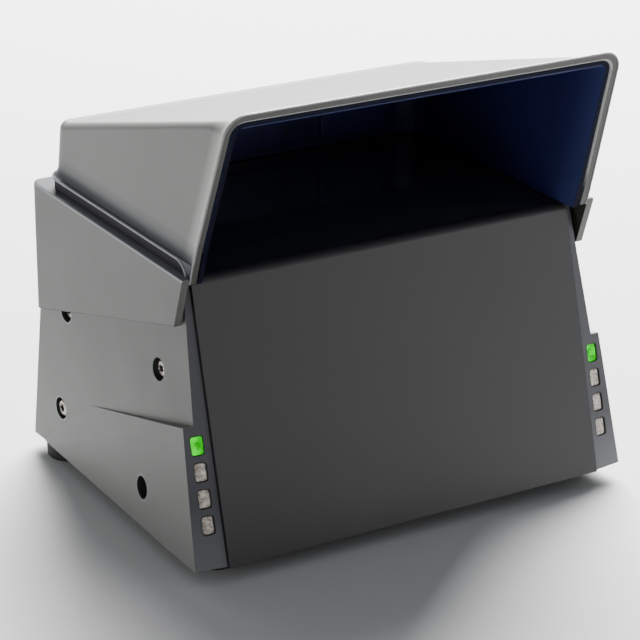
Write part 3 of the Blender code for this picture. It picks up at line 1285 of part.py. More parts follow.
def build_base():
    front = front_y(BASE_TOP) + BEZEL_WALL + CLEARANCE
    back = back_y(BASE_TOP) - CASE_WALL - CLEARANCE
    plate = plan_slab("base_plate", rectangle(INNER_HALF_WIDTH - CLEARANCE, front, back),
                      BASE_RECESS, BASE_TOP)
    holes = []
    for side in SIDES.values():
        for y in BASE_SCREW_DEPTHS:
            x = side * BASE_SCREW_HALF_SPAN
            holes.append(rod("screw_hole", SCREW_SHANK_RADIUS + CLEARANCE,
                             (x, y, -OVERRUN), (x, y, BASE_TOP + OVERRUN), SMALL_SIDES))
        for y in FOOT_DEPTHS:
            x = side * FOOT_HALF_SPAN
            holes.append(rod("foot_hole", FOOT_PEG_RADIUS + CLEARANCE,
                             (x, y, -OVERRUN), (x, y, BASE_TOP + OVERRUN), SMALL_SIDES))
        for index in range(VENT_COUNT):
            x = side * (RIBBON_HALF_WIDTH + VENT_LENGTH / 2 + VENT_WIDTH)
            y = (front + back) / 2 + (index - (VENT_COUNT - 1) / 2) * VENT_PITCH
            holes.append(block(
                "vent", (x - VENT_LENGTH / 2, y - VENT_WIDTH / 2, -OVERRUN),
                (x + VENT_LENGTH / 2, y + VENT_WIDTH / 2, BASE_TOP + OVERRUN)))
    node("base_plate", plate, finish("base_plate", (0.03, 0.03, 0.03), 0.5),
         cuts=[joined("base_holes", holes)])

    seat = BASE_RECESS - CLEARANCE
    foot_profile = [
        (0, BASE_TOP), (FOOT_PEG_RADIUS, BASE_TOP), (FOOT_PEG_RADIUS, seat),
        (FOOT_SEAT_RADIUS, seat), (FOOT_SEAT_RADIUS, -CLEARANCE), (FOOT_RADIUS, -CLEARANCE),
        (FOOT_RADIUS - FOOT_TAPER, -FOOT_HEIGHT), (0, -FOOT_HEIGHT)]
    for side_name, side in SIDES.items():
        for place_name, y in zip(("front", "back"), FOOT_DEPTHS):
            name = "foot_%s_%s" % (place_name, side_name)
            foot = turned(name, foot_profile)
            place = Matrix.Translation((side * FOOT_HALF_SPAN, y, 0))
            shade_round(node(name, foot, finish(name, (0.01, 0.01, 0.01), 0.85), place=place))


def screw_mesh(name):
    """A screw standing on its shank: the underside of its head is at z = 0."""
    socket = SCREW_HEAD_HEIGHT - SCREW_SOCKET_DEPTH
    return turned(name, [
        (0, socket), (SCREW_SOCKET_RADIUS, socket), (SCREW_SOCKET_RADIUS, SCREW_HEAD_HEIGHT),
        (SCREW_HEAD_RADIUS - SCREW_HEAD_HEIGHT / 3, SCREW_HEAD_HEIGHT),
        (SCREW_HEAD_RADIUS, SCREW_HEAD_HEIGHT / 2), (SCREW_HEAD_RADIUS, 0),
        (SCREW_SHANK_RADIUS, 0), (SCREW_SHANK_RADIUS, -SCREW_SHANK_LENGTH + CLEARANCE * 3),
        (0, -SCREW_SHANK_LENGTH + CLEARANCE * 3)], SMALL_SIDES)


def build_screws():
    steel = (0.55, 0.55, 0.53)
    for side_name, side in SIDES.items():
        turn = Matrix.Rotation(side * math.radians(90), 4, "Y")
        for place_name, (y, z) in SIDE_SCREWS.items():
            name = "side_screw_%s_%s" % (side_name, place_name)
            place = Matrix.Translation((side * (SCREW_SEAT_X + CLEARANCE), y, z)) @ turn
            shade_round(node(
                name, screw_mesh(name), finish(name, steel, 0.3, 1.0), place=place))
        for place_name, y in zip(("front", "back"), BASE_SCREW_DEPTHS):
            name = "base_screw_%s_%s" % (place_name, side_name)
            place = (
                Matrix.Translation((side * BASE_SCREW_HALF_SPAN, y, BASE_RECESS - CLEARANCE))
                @ Matrix.Rotation(math.radians(180), 4, "X"))
            shade_round(node(
                name, screw_mesh(name), finish(name, steel, 0.3, 1.0), place=place))


build_casing()
build_bezel()
build_deck()
build_hood()
build_liner()
build_collar()
build_indicators()
build_chassis()
build_mirror()
build_camera()
build_lights()
build_main_board()
build_small_boards()
build_base()
build_screws()
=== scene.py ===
# The looks of a desktop passport reader: fine forms, finishes, camera, floor and light.
#
# Forms made here are drawn in millimetres in the casing's own frame: y runs back from the foot of
# the front seam, z up from the casing's underside, x is 0 on the plane of symmetry. settle()
# brings them to metres and to their place on the floor.

import math
from functools import partial

import bmesh
import bpy
from mathutils import Matrix, Vector
from mathutils.bvhtree import BVHTree


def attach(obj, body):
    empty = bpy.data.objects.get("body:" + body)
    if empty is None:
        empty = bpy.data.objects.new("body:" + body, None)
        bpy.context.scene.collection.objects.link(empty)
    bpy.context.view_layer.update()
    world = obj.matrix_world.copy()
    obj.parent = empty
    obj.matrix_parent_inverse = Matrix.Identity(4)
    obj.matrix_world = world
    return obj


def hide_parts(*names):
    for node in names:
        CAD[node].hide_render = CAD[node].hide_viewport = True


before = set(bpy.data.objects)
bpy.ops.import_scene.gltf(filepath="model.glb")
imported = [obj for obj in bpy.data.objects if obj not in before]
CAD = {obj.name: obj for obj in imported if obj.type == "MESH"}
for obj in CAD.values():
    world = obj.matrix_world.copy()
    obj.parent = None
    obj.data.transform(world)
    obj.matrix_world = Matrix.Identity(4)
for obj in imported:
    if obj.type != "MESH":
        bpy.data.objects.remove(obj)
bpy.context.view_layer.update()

CASE_ORIGIN = (0, -0.0614, 0.0055)
MILLIMETRE = 0.001
TO_FLOOR = Matrix.Translation(CASE_ORIGIN) @ Matrix.Scale(MILLIMETRE, 4)
FROM_FLOOR = TO_FLOOR.inverted()
FRONT_LEAN = math.radians(14.2)
DECK_TILT = math.radians(2)
RIM_LEAN = math.radians(19.2)
HOOD_BACK_LEAN = math.radians(2.8)
STRIP_SWEEP = math.radians(8)
STAND = Matrix.Rotation(math.radians(90), 4, "X")
RIM_BACKWARD = (0, math.cos(RIM_LEAN), math.sin(RIM_LEAN))
RIDGE_Y, RIDGE_Z = 20.73, 86.0
SIDES = {"left": -1, "right": 1}
WELD, SAME_POINT = 0.001, 0.002


def fill(node, values):
    """Sets a node's inputs by name."""
    for socket, value in values.items():
        node.inputs[socket.replace("_", " ")].default_value = value


def add(tree, kind, links=(), **values):
    """A node with its inputs set and linked."""
    node = tree.nodes.new(kind)
    fill(node, values)
    for out, into in links:
        tree.links.new(out, node.inputs[into])
    return node


# Finishes

class Finish:
    """A material with a short way to add and link its nodes."""

    def __init__(self, name, colour, roughness, **sockets):
        self.made = bpy.data.materials.new(name)
        self.made.use_nodes = True
        self.tree = self.made.node_tree
        self.shader = self.tree.nodes["Principled BSDF"]
        fill(self.shader, {"Base Color": (*colour, 1), "Roughness": roughness, **sockets})
        self.made.diffuse_color = (*colour, 1)
        self.normal = None
        where = add(self.tree, "ShaderNodeTexCoord")
        self.place = add(self.tree, "ShaderNodeMapping", [(where.outputs["Object"], "Vector")])

    def link(self, out, into):
        self.tree.links.new(out, into)

    def pattern(self, kind, **values):
        """A texture node laid on the object's own coordinates."""
        return add(self.tree, kind, [(self.place.outputs["Vector"], "Vector")], **values)

    def noise(self, scale, detail, roughness=0.6):
        return self.pattern(
            "ShaderNodeTexNoise", Scale=scale, Detail=detail, Roughness=roughness).outputs["Fac"]

    def cells(self, scale):
        return self.pattern("ShaderNodeTexVoronoi", Scale=scale).outputs["Distance"]

    def bands(self, scale, distortion):
        node = self.pattern("ShaderNodeTexWave", Scale=scale, Distortion=distortion)
        node.bands_direction = "DIAGONAL"
        return node.outputs["Fac"]

    def along(self, direction):
        """How far a point lies in a direction."""
        node = add(self.tree, "ShaderNodeVectorMath", [(self.place.outputs["Vector"], 0)])
        node.operation = "DOT_PRODUCT"
        node.inputs[1].default_value = direction
        return node.outputs["Value"]

    def ramp(self, out, stops):
        """A colour ramp; a stop is a position and a colour."""
        node = add(self.tree, "ShaderNodeValToRGB", [(out, "Fac")])
        elements = node.color_ramp.elements
        while len(elements) < len(stops):
            elements.new(1)
        for element, (position, colour) in zip(elements, stops):
            element.position = position
            element.color = (*colour, 1)
        return node.outputs["Color"]

    def spread(self, out, low, high, start=0.3, end=0.7):
        """A value that goes from low to high as the output goes from start to end."""
        return add(self.tree, "ShaderNodeMapRange", [(out, "Value")], From_Min=start,
                   From_Max=end, To_Min=low, To_Max=high).outputs["Result"]

    def mixed(self, share, first, second):
        """The first tone where the share is 0, the second where it is 1."""
        node = add(self.tree, "ShaderNodeMix", [(share, "Factor")])
        node.data_type = "RGBA"
        for name, tone in (("A", first), ("B", second)):
            if isinstance(tone, tuple):
                node.inputs[name].default_value = (*tone, 1)
            else:
                self.link(tone, node.inputs[name])
        return node.outputs["Result"]

    def colour(self, out, *stops, into="Base Color"):
        self.link(self.ramp(out, stops), self.shader.inputs[into])

    def sheen_of(self, out, low, high):
        self.link(self.spread(out, low, high), self.shader.inputs["Roughness"])

    def bump(self, out, depth, strength):
        """A bump layer, its depth in metres, over those that are there."""
        node = add(self.tree, "ShaderNodeBump", [(out, "Height")], Distance=depth,
                   Strength=strength)
        if self.normal:
            self.link(self.normal, node.inputs["Normal"])
        self.normal = node.outputs["Normal"]
        self.link(self.normal, self.shader.inputs["Normal"])


def shade(colour, factor):
    return tuple(channel * factor for channel in colour)


def plastic(name, colour, roughness, vary=0.03, grain=2600, gloss=0.5, painted_light_and_shade=()):
    """Moulded plastic with spark-eroded grain, a little unevenness of tone and rubbed patches.

    A fade is painted light and shade in the colour: a tone, a direction, and where along it the
    tone is full and where it has gone."""
    sway, depth, strength = 0.03, 0.00006, 0.35
    made = Finish(name, colour, roughness, IOR=1.48, Specular_IOR_Level=gloss)
    tone = made.ramp(made.noise(scale=22, detail=5), [
        (0.3, shade(colour, 1 - vary)), (0.7, shade(colour, 1 + vary))])
    for painted_tone, direction, full, gone in painted_light_and_shade:
        share = made.spread(made.along(direction), 0, 1, full, gone)
        tone = made.mixed(share, painted_tone, tone)
    made.link(tone, made.shader.inputs["Base Color"])
    made.sheen_of(made.noise(scale=60, detail=6), roughness - sway, roughness + sway)
    made.bump(made.noise(grain, detail=3, roughness=0.7), depth, strength)
    made.bump(made.noise(scale=900, detail=2), depth, strength / 2)
    return made.made


def rubber(name, colour, roughness):
    made = Finish(name, colour, roughness, IOR=1.52)
    made.colour(made.noise(scale=300, detail=4),
                (0.35, shade(colour, 0.7)), (0.65, shade(colour, 1.6)))
    made.sheen_of(made.noise(scale=160, detail=4), roughness - 0.1, roughness + 0.05)
    made.bump(made.noise(scale=1800, detail=2), depth=0.00008, strength=0.5)
    return made.made


def metal(name, colour, roughness, stretch=(1, 1, 30)):
    """Metal with streaks across the axis whose coordinates are stretched."""
    made = Finish(name, colour, roughness, Metallic=1.0)
    made.place.inputs["Scale"].default_value = stretch
    streaks = made.noise(scale=400, detail=5)
    made.colour(streaks, (0.3, shade(colour, 0.82)), (0.7, shade(colour, 1.12)))
    made.sheen_of(streaks, roughness - 0.08, roughness + 0.12)
    made.bump(streaks, depth=0.00003, strength=0.3)
    return made.made


def circuit_board(name, colour, mask):
    """Solder lacquer over copper runs, with bright pads."""
    pad_edge, pad_end, copper = 0.13, 0.17, (0.75, 0.6, 0.32)
    made = Finish(name, colour, 0.32, IOR=1.5, Coat_Weight=0.4, Coat_Roughness=0.15)
    runs = made.bands(scale=420, distortion=14)
    pads = made.cells(scale=420)
    tone = made.mixed(
        made.spread(pads, 0, 1, pad_edge, pad_end),
        made.ramp(pads, [(pad_edge, copper), (pad_end, mask)]),
        made.ramp(runs, [(0.42, shade(colour, 0.75)), (0.6, shade(colour, 1.5))]))
    made.link(tone, made.shader.inputs["Base Color"])
    made.bump(runs, depth=0.00004, strength=0.35)
    return made.made


def lit_lens():
    """A light guide lit from behind, its prisms brighter and darker green."""
    made = Finish("indicator_lit", (0.0, 0.12, 0.0), 0.4, Emission_Strength=1.25,
                  Specular_IOR_Level=0.05)
    prisms = made.noise(scale=420, detail=4)
    made.colour(prisms, (0.35, (0.0, 0.05, 0.0)), (0.65, (0.0, 0.16, 0.0)))
    made.colour(prisms, (0.38, (0.0, 0.35, 0.0)), (0.62, (0.0, 1.0, 0.0)), into="Emission Color")
    made.bump(prisms, depth=0.0002, strength=0.5)
    return made.made


def unlit_lens():
    """The same light guide dark: frosted, with warm speckle."""
    tone = (0.46, 0.41, 0.36)
    made = Finish("indicator_unlit", tone, 0.38, IOR=1.5, Coat_Weight=0.25, Coat_Roughness=0.2)
    made.colour(made.noise(scale=1000, detail=3, roughness=0.8),
                (0.36, (0.22, 0.15, 0.12)), (0.5, tone), (0.62, (0.68, 0.66, 0.58)))
    made.bump(made.cells(scale=900), depth=0.00015, strength=0.45)
    return made.made


def clear_glass(name, colour, transmission, coat=0.0, smudge=0.03):
    polish = 0.015
    made = Finish(name, colour, 0.03, IOR=1.52, Transmission_Weight=transmission,
                  Coat_Weight=coat, Coat_Roughness=0.02)
    made.sheen_of(made.noise(scale=45, detail=6), polish, polish + smudge)
    made.bump(made.noise(scale=30, detail=2), depth=0.00001, strength=0.1)
    return made.made


def mirror_silver():
    made = Finish("mirror_silver", (0.86, 0.88, 0.88), 0.02, Metallic=1.0)
    made.sheen_of(made.noise(scale=60, detail=6), 0.01, 0.05)
    return made.made


UPWARD = (0, 0, 1)
BACKWARD = (0, 1, 0)
DECK_UPWARD = (0, -math.sin(DECK_TILT), math.cos(DECK_TILT))
GREY = (0.127, 0.129, 0.122)
# Painted shade and light: the casing and collar grey is the hood's grey darkened to 0.82 as
# painted shade, and its fade paints it lighter towards the floor as painted light.
HOUSING = plastic("housing_grey", shade(GREY, 0.82), 0.46, gloss=0.14, painted_light_and_shade=[
    (shade(GREY, 1.3), UPWARD, 0.003, 0.055)])
# Painted highlight and shade: the hood's grey is painted lighter along the flare next to the rim,
# and dark low on the sides above the lip bead, where the fillet lies in shade.
HOOD_GREY = plastic("hood_grey", GREY, 0.46, gloss=0.2, painted_light_and_shade=[
    (shade(GREY, 2.8), RIM_BACKWARD, -0.0125, -0.0055),
    ((0.02, 0.025, 0.033), DECK_UPWARD, 0.1, 0.107)])
# Wear and painted highlight: rounded edges of the casing and the hood's rim band are painted
# lighter than the housing, partly as light wear, partly as a painted highlight.
EDGE_WEAR_AND_HIGHLIGHT = plastic("housing_edge", shade(GREY, 1.25), 0.36, vary=0.1)
# Painted shade and light: the indicator strips are the casing's plastic painted darker as painted
# shade, and lighter towards their foot as painted light.
STRIP_LIGHT_AND_SHADE = plastic("strip_face", (0.062, 0.062, 0.069), 0.42, gloss=0.3, painted_light_and_shade=[
    ((0.15, 0.154, 0.163), UPWARD, 0.004, 0.024)])
# Painted shade: the walls of the screw recesses and the inner part of their lips are painted near
# black, the shade deep in the holes.
RECESS_SHADE = plastic("screw_recess", (0.012, 0.012, 0.011), 0.6)
# Painted highlight: a cooler, lighter grey on the collar's top chamfer, the hood's lip bead and
# the outer part of the recess lips, standing in for the sky reflected in them.
SKY_HIGHLIGHT_EDGE = plastic("collar_edge", (0.185, 0.195, 0.208), 0.4)
# Painted shade on the collar: its top flat under the hood, darker still towards the back; its
# inward faces and the rounding of its foot edge, a painted shadow line; its front ends.
COLLAR_TOP_SHADE = plastic("collar_top", (0.12, 0.126, 0.134), 0.6, gloss=0.08, painted_light_and_shade=[
    ((0.045, 0.048, 0.052), BACKWARD, 0.044, 0.032)])
COLLAR_SHADE = plastic("collar_inside", (0.02, 0.019, 0.017), 0.55)
COLLAR_END_SHADE = plastic("collar_end", (0.062, 0.062, 0.056), 0.55)
# Painted shade: the front face of the hood's rim is painted darker than the hood.
RIM_FACE_SHADE = plastic("rim_face", (0.034, 0.034, 0.031), 0.55)
RIM_INNER = plastic("rim_inner", (0.003, 0.004, 0.012), 0.6, gloss=0.05)
GROOVE = plastic("groove_strip", (0.024, 0.0235, 0.026), 0.7, vary=0.15, gloss=0.1)
BEZEL = plastic("bezel_charcoal", (0.0193, 0.0188, 0.0193), 0.42, grain=2200)
DECK = plastic("deck_charcoal", (0.02, 0.02, 0.021), 0.45)
# Painted light: the liner's navy is painted brighter near the hood's mouth.
LINER = plastic("liner_navy_black", (0.012, 0.015, 0.07), 0.42, vary=0.2, painted_light_and_shade=[
    ((0.021, 0.03, 0.1), RIM_BACKWARD, -0.013, 0.0)])
LINER_PANEL = plastic("liner_panel", (0.02, 0.023, 0.105), 0.36, vary=0.15)
BASE = plastic("base_black", (0.022, 0.022, 0.024), 0.55)
OPTICS = plastic("optics_black", (0.011, 0.011, 0.012), 0.6, vary=0.15)
POCKET = plastic("window_pocket", (0.012, 0.012, 0.013), 0.5)
RUBBER = rubber("foot_rubber", (0.012, 0.012, 0.012), 0.8)
GASKET = rubber("gasket_rubber", (0.01, 0.01, 0.01), 0.7)
STEEL = metal("screw_steel", (0.33, 0.3, 0.275), 0.3)
SHIELD = metal("shield_steel", (0.62, 0.62, 0.6), 0.3)
BRACKET = metal("bracket_sheet", (0.5, 0.51, 0.52), 0.38, stretch=(30, 1, 1))
CONTACT = metal("contact_gold", (0.83, 0.61, 0.25), 0.25)
BOARD = circuit_board("board_green", (0.015, 0.11, 0.04), (0.018, 0.13, 0.045))
LIGHT_BOARD = circuit_board("board_white", (0.62, 0.62, 0.58), (0.66, 0.66, 0.62))
DIFFUSER = clear_glass("diffuser_frost", (0.85, 0.86, 0.86), 0.4, smudge=0.3)
WINDOW_GLASS = clear_glass("document_glass", (0.1, 0.12, 0.12), 0.75)
LENS_GLASS = clear_glass("lens_glass", (0.06, 0.05, 0.16), 0.6, coat=1.0, smudge=0.01)
MIRROR = mirror_silver()
SENSOR = plastic("sensor", (0.05, 0.03, 0.09), 0.15, vary=0.3)
RIBBON = plastic("ribbon", (0.7, 0.67, 0.58), 0.45)
LIT = lit_lens()
UNLIT = unlit_lens()


# Objects and their meshes

def placed(name, data):
    """A new object in the scene."""
    made = bpy.data.objects.new(name, data)
    bpy.context.scene.collection.objects.link(made)
    return made


def mesh_of(name, bm):
    """The shape as a mesh."""
    mesh = bpy.data.meshes.new(name)
    bm.to_mesh(mesh)
    bm.free()
    return mesh


def evaluated(made):
    """An object's mesh after its modifiers."""
    bpy.context.view_layer.update()
    return bpy.data.meshes.new_from_object(
        made.evaluated_get(bpy.context.evaluated_depsgraph_get()))


def taken(made):
    """An object's shape after its modifiers; the object goes."""
    mesh = evaluated(made)
    bm = bmesh.new()
    bm.from_mesh(mesh)
    bpy.data.meshes.remove(mesh)
    bpy.data.objects.remove(made, do_unlink=True)
    return bm


# Shapes

CORNER_STEPS = 4
SIDE_ON = Matrix(((0, 0, 1, 0), (1, 0, 0, 0), (0, 1, 0, 0), (0, 0, 0, 1)))


def full_turn(steps):
    return [2 * math.pi * step / steps for step in range(steps)]


def quarter_turn(steps, first=0):
    return [math.radians(90 / steps * step) for step in range(first, steps + 1)]


def polar(radius, angle, *height):
    return (radius * math.cos(angle), radius * math.sin(angle), *height)


def rounded(corners, steps):
    """Corner points (x, y, radius) as an outline with arcs at its corners."""
    outline = []
    for index, (x, y, radius) in enumerate(corners):
        here = Vector((x, y))
        if radius <= 0:
            outline.append(here)
            continue
        before = (Vector(corners[index - 1][:2]) - here).normalized()
        after = (Vector(corners[(index + 1) % len(corners)][:2]) - here).normalized()
        half_angle = before.angle(after) / 2
        centre = here + (before + after).normalized() * radius / math.sin(half_angle)
        first = (here + before * radius / math.tan(half_angle) - centre).normalized()
        last = (here + after * radius / math.tan(half_angle) - centre).normalized()
        outline += [
            centre + first.slerp(last, step / steps) * radius for step in range(steps + 1)]
    return outline


def rectangle(half_width, half_height, radius):
    return rounded([
        (-half_width, -half_height, radius), (half_width, -half_height, radius),
        (half_width, half_height, radius), (-half_width, half_height, radius)], CORNER_STEPS)


def loft(rings, capped=True):
    """A skin over rings of equally many points."""
    bm = bmesh.new()
    rows = [[bm.verts.new(point) for point in ring] for ring in rings]
    for row, following in zip(rows, rows[1:]):
        for index in range(len(row)):
            other = (index + 1) % len(row)
            bm.faces.new((row[index], row[other], following[other], following[index]))
    if capped:
        bm.faces.new(rows[0])
        bm.faces.new(rows[-1])
    bmesh.ops.recalc_face_normals(bm, faces=bm.faces)
    return bm


def swept(rows, capped=True):
    """A bar whose corner lines are the rows."""
    return loft(list(zip(*rows)), capped)


def lathe(profile, sides, place=Matrix()):
    """A closed profile of (radius, height) turned about z."""
    rings = [[polar(radius, angle, z) for radius, z in profile] for angle in full_turn(sides)]
    bm = loft(rings + rings[:1], capped=False)
    bmesh.ops.remove_doubles(bm, verts=bm.verts, dist=WELD)
    bmesh.ops.recalc_face_normals(bm, faces=bm.faces)
    bm.transform(place)
    return bm


def box(low, high):
    bm = bmesh.new()
    low, high = Vector(low), Vector(high)
    middle, size = (low + high) / 2, high - low
    bmesh.ops.create_cube(
        bm, size=1, matrix=Matrix.Translation(middle) @ Matrix.Diagonal((*size, 1)))
    return bm


def slab(outline, low, high, place=Matrix()):
    """A flat outline in x and y raised from one height to another."""
    bm = loft([[(x, y, z) for x, y in outline] for z in (low, high)])
    bm.transform(place)
    return bm


def profile(outline, half_width):
    """A side profile in y and z carried across the width."""
    return slab(outline, -half_width, half_width, SIDE_ON)


def merged(*parts):
    bm = bmesh.new()
    for part in parts:
        mesh = mesh_of("part", part)
        bm.from_mesh(mesh)
        bpy.data.meshes.remove(mesh)
    return bm


def cut(bm, *cutters):
    """The solid left when the cutters are taken out of it."""
    body = placed("body", mesh_of("body", bm))
    tools = [placed("tool", mesh_of("tool", cutter)) for cutter in cutters]
    for tool in tools:
        step = body.modifiers.new("cut", "BOOLEAN")
        step.operation = "DIFFERENCE"
        step.solver = "EXACT"
        step.object = tool
    shape = taken(body)
    for tool in tools:
        bpy.data.objects.remove(tool, do_unlink=True)
    return tidied(shape)


def tidied(bm):
    """Doubled points welded and flat faces joined."""
    flat = math.radians(0.3)
    bmesh.ops.remove_doubles(bm, verts=bm.verts, dist=SAME_POINT)
    bmesh.ops.dissolve_degenerate(bm, edges=bm.edges, dist=SAME_POINT)
    bmesh.ops.dissolve_limit(bm, angle_limit=flat, verts=bm.verts, edges=bm.edges)
    return bm


def of_node(name):
    """A CAD node's shape, welded, in millimetres in the casing's frame."""
    bm = bmesh.new()
    bm.from_mesh(CAD[name].data)
    bm.transform(FROM_FLOOR)
    return tidied(bm)


def softened(bm, chosen, width, steps, material=0):
    """Rounds the chosen edges; the new faces take the finish of that number."""
    edges = [edge for edge in bm.edges if edge.is_manifold and chosen(edge)]
    if edges:
        bmesh.ops.bevel(bm, geom=edges, offset=width, offset_type="OFFSET", segments=steps,
                        profile=0.5, affect="EDGES", clamp_overlap=True, material=material)
        bmesh.ops.dissolve_degenerate(bm, edges=bm.edges, dist=SAME_POINT)


def convex(edge, angle):
    return edge.calc_face_angle_signed(0) > math.radians(angle)


def ends(edge):
    return [vert.co for vert in edge.verts]


def breadth(face):
    """How wide a face is across its longest edge."""
    longest = max(edge.calc_length() for edge in face.edges)
    return face.calc_area() / longest if longest else 0.0


def creased(bm, smooth, flat):
    """Keeps corners crisp, and broad flats flat where two of them meet at a slight angle."""
    broad = 2.5
    bm.normal_update()
    wide = {face for face in bm.faces if breadth(face) > broad}
    for face in bm.faces:
        face.smooth = True
    for edge in bm.edges:
        if len(edge.link_faces) != 2:
            continue
        turn = math.degrees(edge.calc_face_angle(0))
        both_wide = all(face in wide for face in edge.link_faces)
        edge.smooth = not (turn > smooth or (both_wide and turn > flat))


def weighted(made):
    """Normals weighted by area, so that flats stay flat and round edges stay round."""
    step = made.modifiers.new("normals", "WEIGHTED_NORMAL")
    step.weight = 100
    step.keep_sharp = True
    plain = made.data
    made.data = evaluated(made)
    made.modifiers.remove(step)
    bpy.data.meshes.remove(plain)
    made.data.name = made.name


def settle(name, bm, finishes, body, slot, replaced=(), smooth=38, flat=1.2, normals=True):
    """Finishes a piece: it goes to its place, rides its body and takes its finishes."""
    if normals:
        bmesh.ops.recalc_face_normals(bm, faces=bm.faces)
    creased(bm, smooth, flat)
    bmesh.ops.triangulate(bm, faces=[face for face in bm.faces if len(face.verts) > 4])
    bm.transform(TO_FLOOR)
    mesh = mesh_of(name, bm)
    for finish in finishes:
        mesh.materials.append(finish)
    made = placed(name, mesh)
    weighted(made)
    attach(made, body)
    if replaced:
        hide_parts(*replaced)


def skin(node, bm, finishes, body, slot, kind="_skin", **settings):
    """Settles a piece that takes its solid's place, its normals as they are."""
    settle(node + kind, bm, finishes, body, slot, [node], normals=False, **settings)


def faces_take(bm, chosen, material):
    for face in bm.faces:
        if chosen(face):
            face.material_index = material


# Repeats, made by Geometry Nodes

def repeat_tree(name, sizes, build):
    """A node tree with named inputs; build(tree, sockets) returns the shape's output."""
    tree = bpy.data.node_groups.new(name, "GeometryNodeTree")
    inputs = [("Points", "Geometry"), *((size, "Float") for size in sizes), ("Finish", "Material")]
    for label, kind in inputs:
        tree.interface.new_socket(label, in_out="INPUT", socket_type="NodeSocket" + kind)
    tree.interface.new_socket("Pieces", in_out="OUTPUT", socket_type="NodeSocketGeometry")
    given = tree.nodes.new("NodeGroupInput").outputs
    shape = build(tree, given)
    turn = add(tree, "GeometryNodeInputNamedAttribute", Name="turn")
    turn.data_type = "FLOAT_VECTOR"
    spread = add(tree, "GeometryNodeInstanceOnPoints", [
        (given["Points"], "Points"), (shape, "Instance"),
        (turn.outputs["Attribute"], "Rotation")])
    real = add(tree, "GeometryNodeRealizeInstances", [(spread.outputs["Instances"], "Geometry")])
    coat = add(tree, "GeometryNodeSetMaterial", [
        (real.outputs["Geometry"], "Geometry"), (given["Finish"], "Material")])
    add(tree, "NodeGroupOutput", [(coat.outputs["Geometry"], "Pieces")])
    return tree


def repeated(name, tree, places, values, finish, body, slot, replaced=()):
    """The tree's shape at each place, a matrix in the casing's frame, as one plain mesh."""
    seeds = bpy.data.meshes.new(name + "_places")
    seeds.from_pydata([place.to_translation() for place in places], [], [])
    turns = seeds.attributes.new("turn", "FLOAT_VECTOR", "POINT")
    for item, place in zip(turns.data, places):
        item.vector = place.to_euler()
    carrier = placed(name + "_carrier", seeds)
    step = carrier.modifiers.new("repeat", "NODES")
    step.node_group = tree
    given = {**values, "Finish": finish}
    for item in tree.interface.items_tree:
        if item.name in given:
            step[item.identifier] = given[item.name]
    bm = taken(carrier)
    bmesh.ops.remove_doubles(bm, verts=bm.verts, dist=WELD)
    for face in bm.faces:
        face.material_index = 0
    settle(name, bm, [finish], body, slot, replaced)


# Frames on the casing

STRIP_X = 69.3
WINDOW_COUNT, WINDOW_START, WINDOW_PITCH = 4, 13.7, 8.2
WINDOW_HEIGHTS = [WINDOW_START + WINDOW_PITCH * index for index in range(WINDOW_COUNT)]
SIDE_SCREWS = {"front_upper": (34.3, 53.5), "back_lower": (104.0, 16.0),
               "front_lower": (39.5, 13.0), "back_upper": (98.0, 52.0)}


def front_y(z):
    return z * math.tan(FRONT_LEAN)


def deck_z(y, rise=0.0):
    return RIDGE_Z + (y - RIDGE_Y) * math.tan(DECK_TILT) + rise


def strip_frame(side):
    """Lies on an indicator strip: x outward, z up the slope, y into the casing."""
    return (Matrix.Translation((side * STRIP_X, 0, 0)) @ Matrix.Rotation(-FRONT_LEAN, 4, "X")
            @ Matrix.Rotation(side * STRIP_SWEEP, 4, "Z"))


# Casing, with rounded pods and back edges

WALL_LEAN = math.radians(4.2)
WALL_LOW_X, WALL_HIGH_X = 72.0, 72.9
LEAN_PIVOT_Z, LEAN_LOW_Z = 62, 44
LEAN_END_Y, LEAN_RUN = 88, 66
LEAN_CUTS_Y = range(28, 89, 12)
FRONT_EDGE_DEPTH = 2
POD_FRONT_ROUND, CASE_ROUND = 1.7, 0.8
LONG_EDGE, LOW_EDGE_Z = 6, 0.4
ON_STRIP, STRIP_BREADTH = 0.05, 1
RECESS_RADIUS = 4


def wall_leans(bm):
    """The side walls' front edges lean out from the ridge down to the pods, fading to the back."""
    for y in LEAN_CUTS_Y:
        bmesh.ops.bisect_plane(bm, geom=bm.verts[:] + bm.edges[:] + bm.faces[:],
                               plane_co=(0, y, 0), plane_no=BACKWARD)
    for vert in bm.verts:
        x, y, z = vert.co
        if not WALL_LOW_X < abs(x) < WALL_HIGH_X:
            continue
        share = min(max((LEAN_END_Y - y) / LEAN_RUN, 0), 1)
        eased = share * share * (3 - 2 * share)
        shift = (LEAN_PIVOT_Z - max(z, LEAN_LOW_Z)) * math.tan(WALL_LEAN) * eased
        vert.co.x += shift if x > 0 else -shift
        if y < front_y(z) + FRONT_EDGE_DEPTH:
            vert.co.y += shift * math.tan(STRIP_SWEEP)


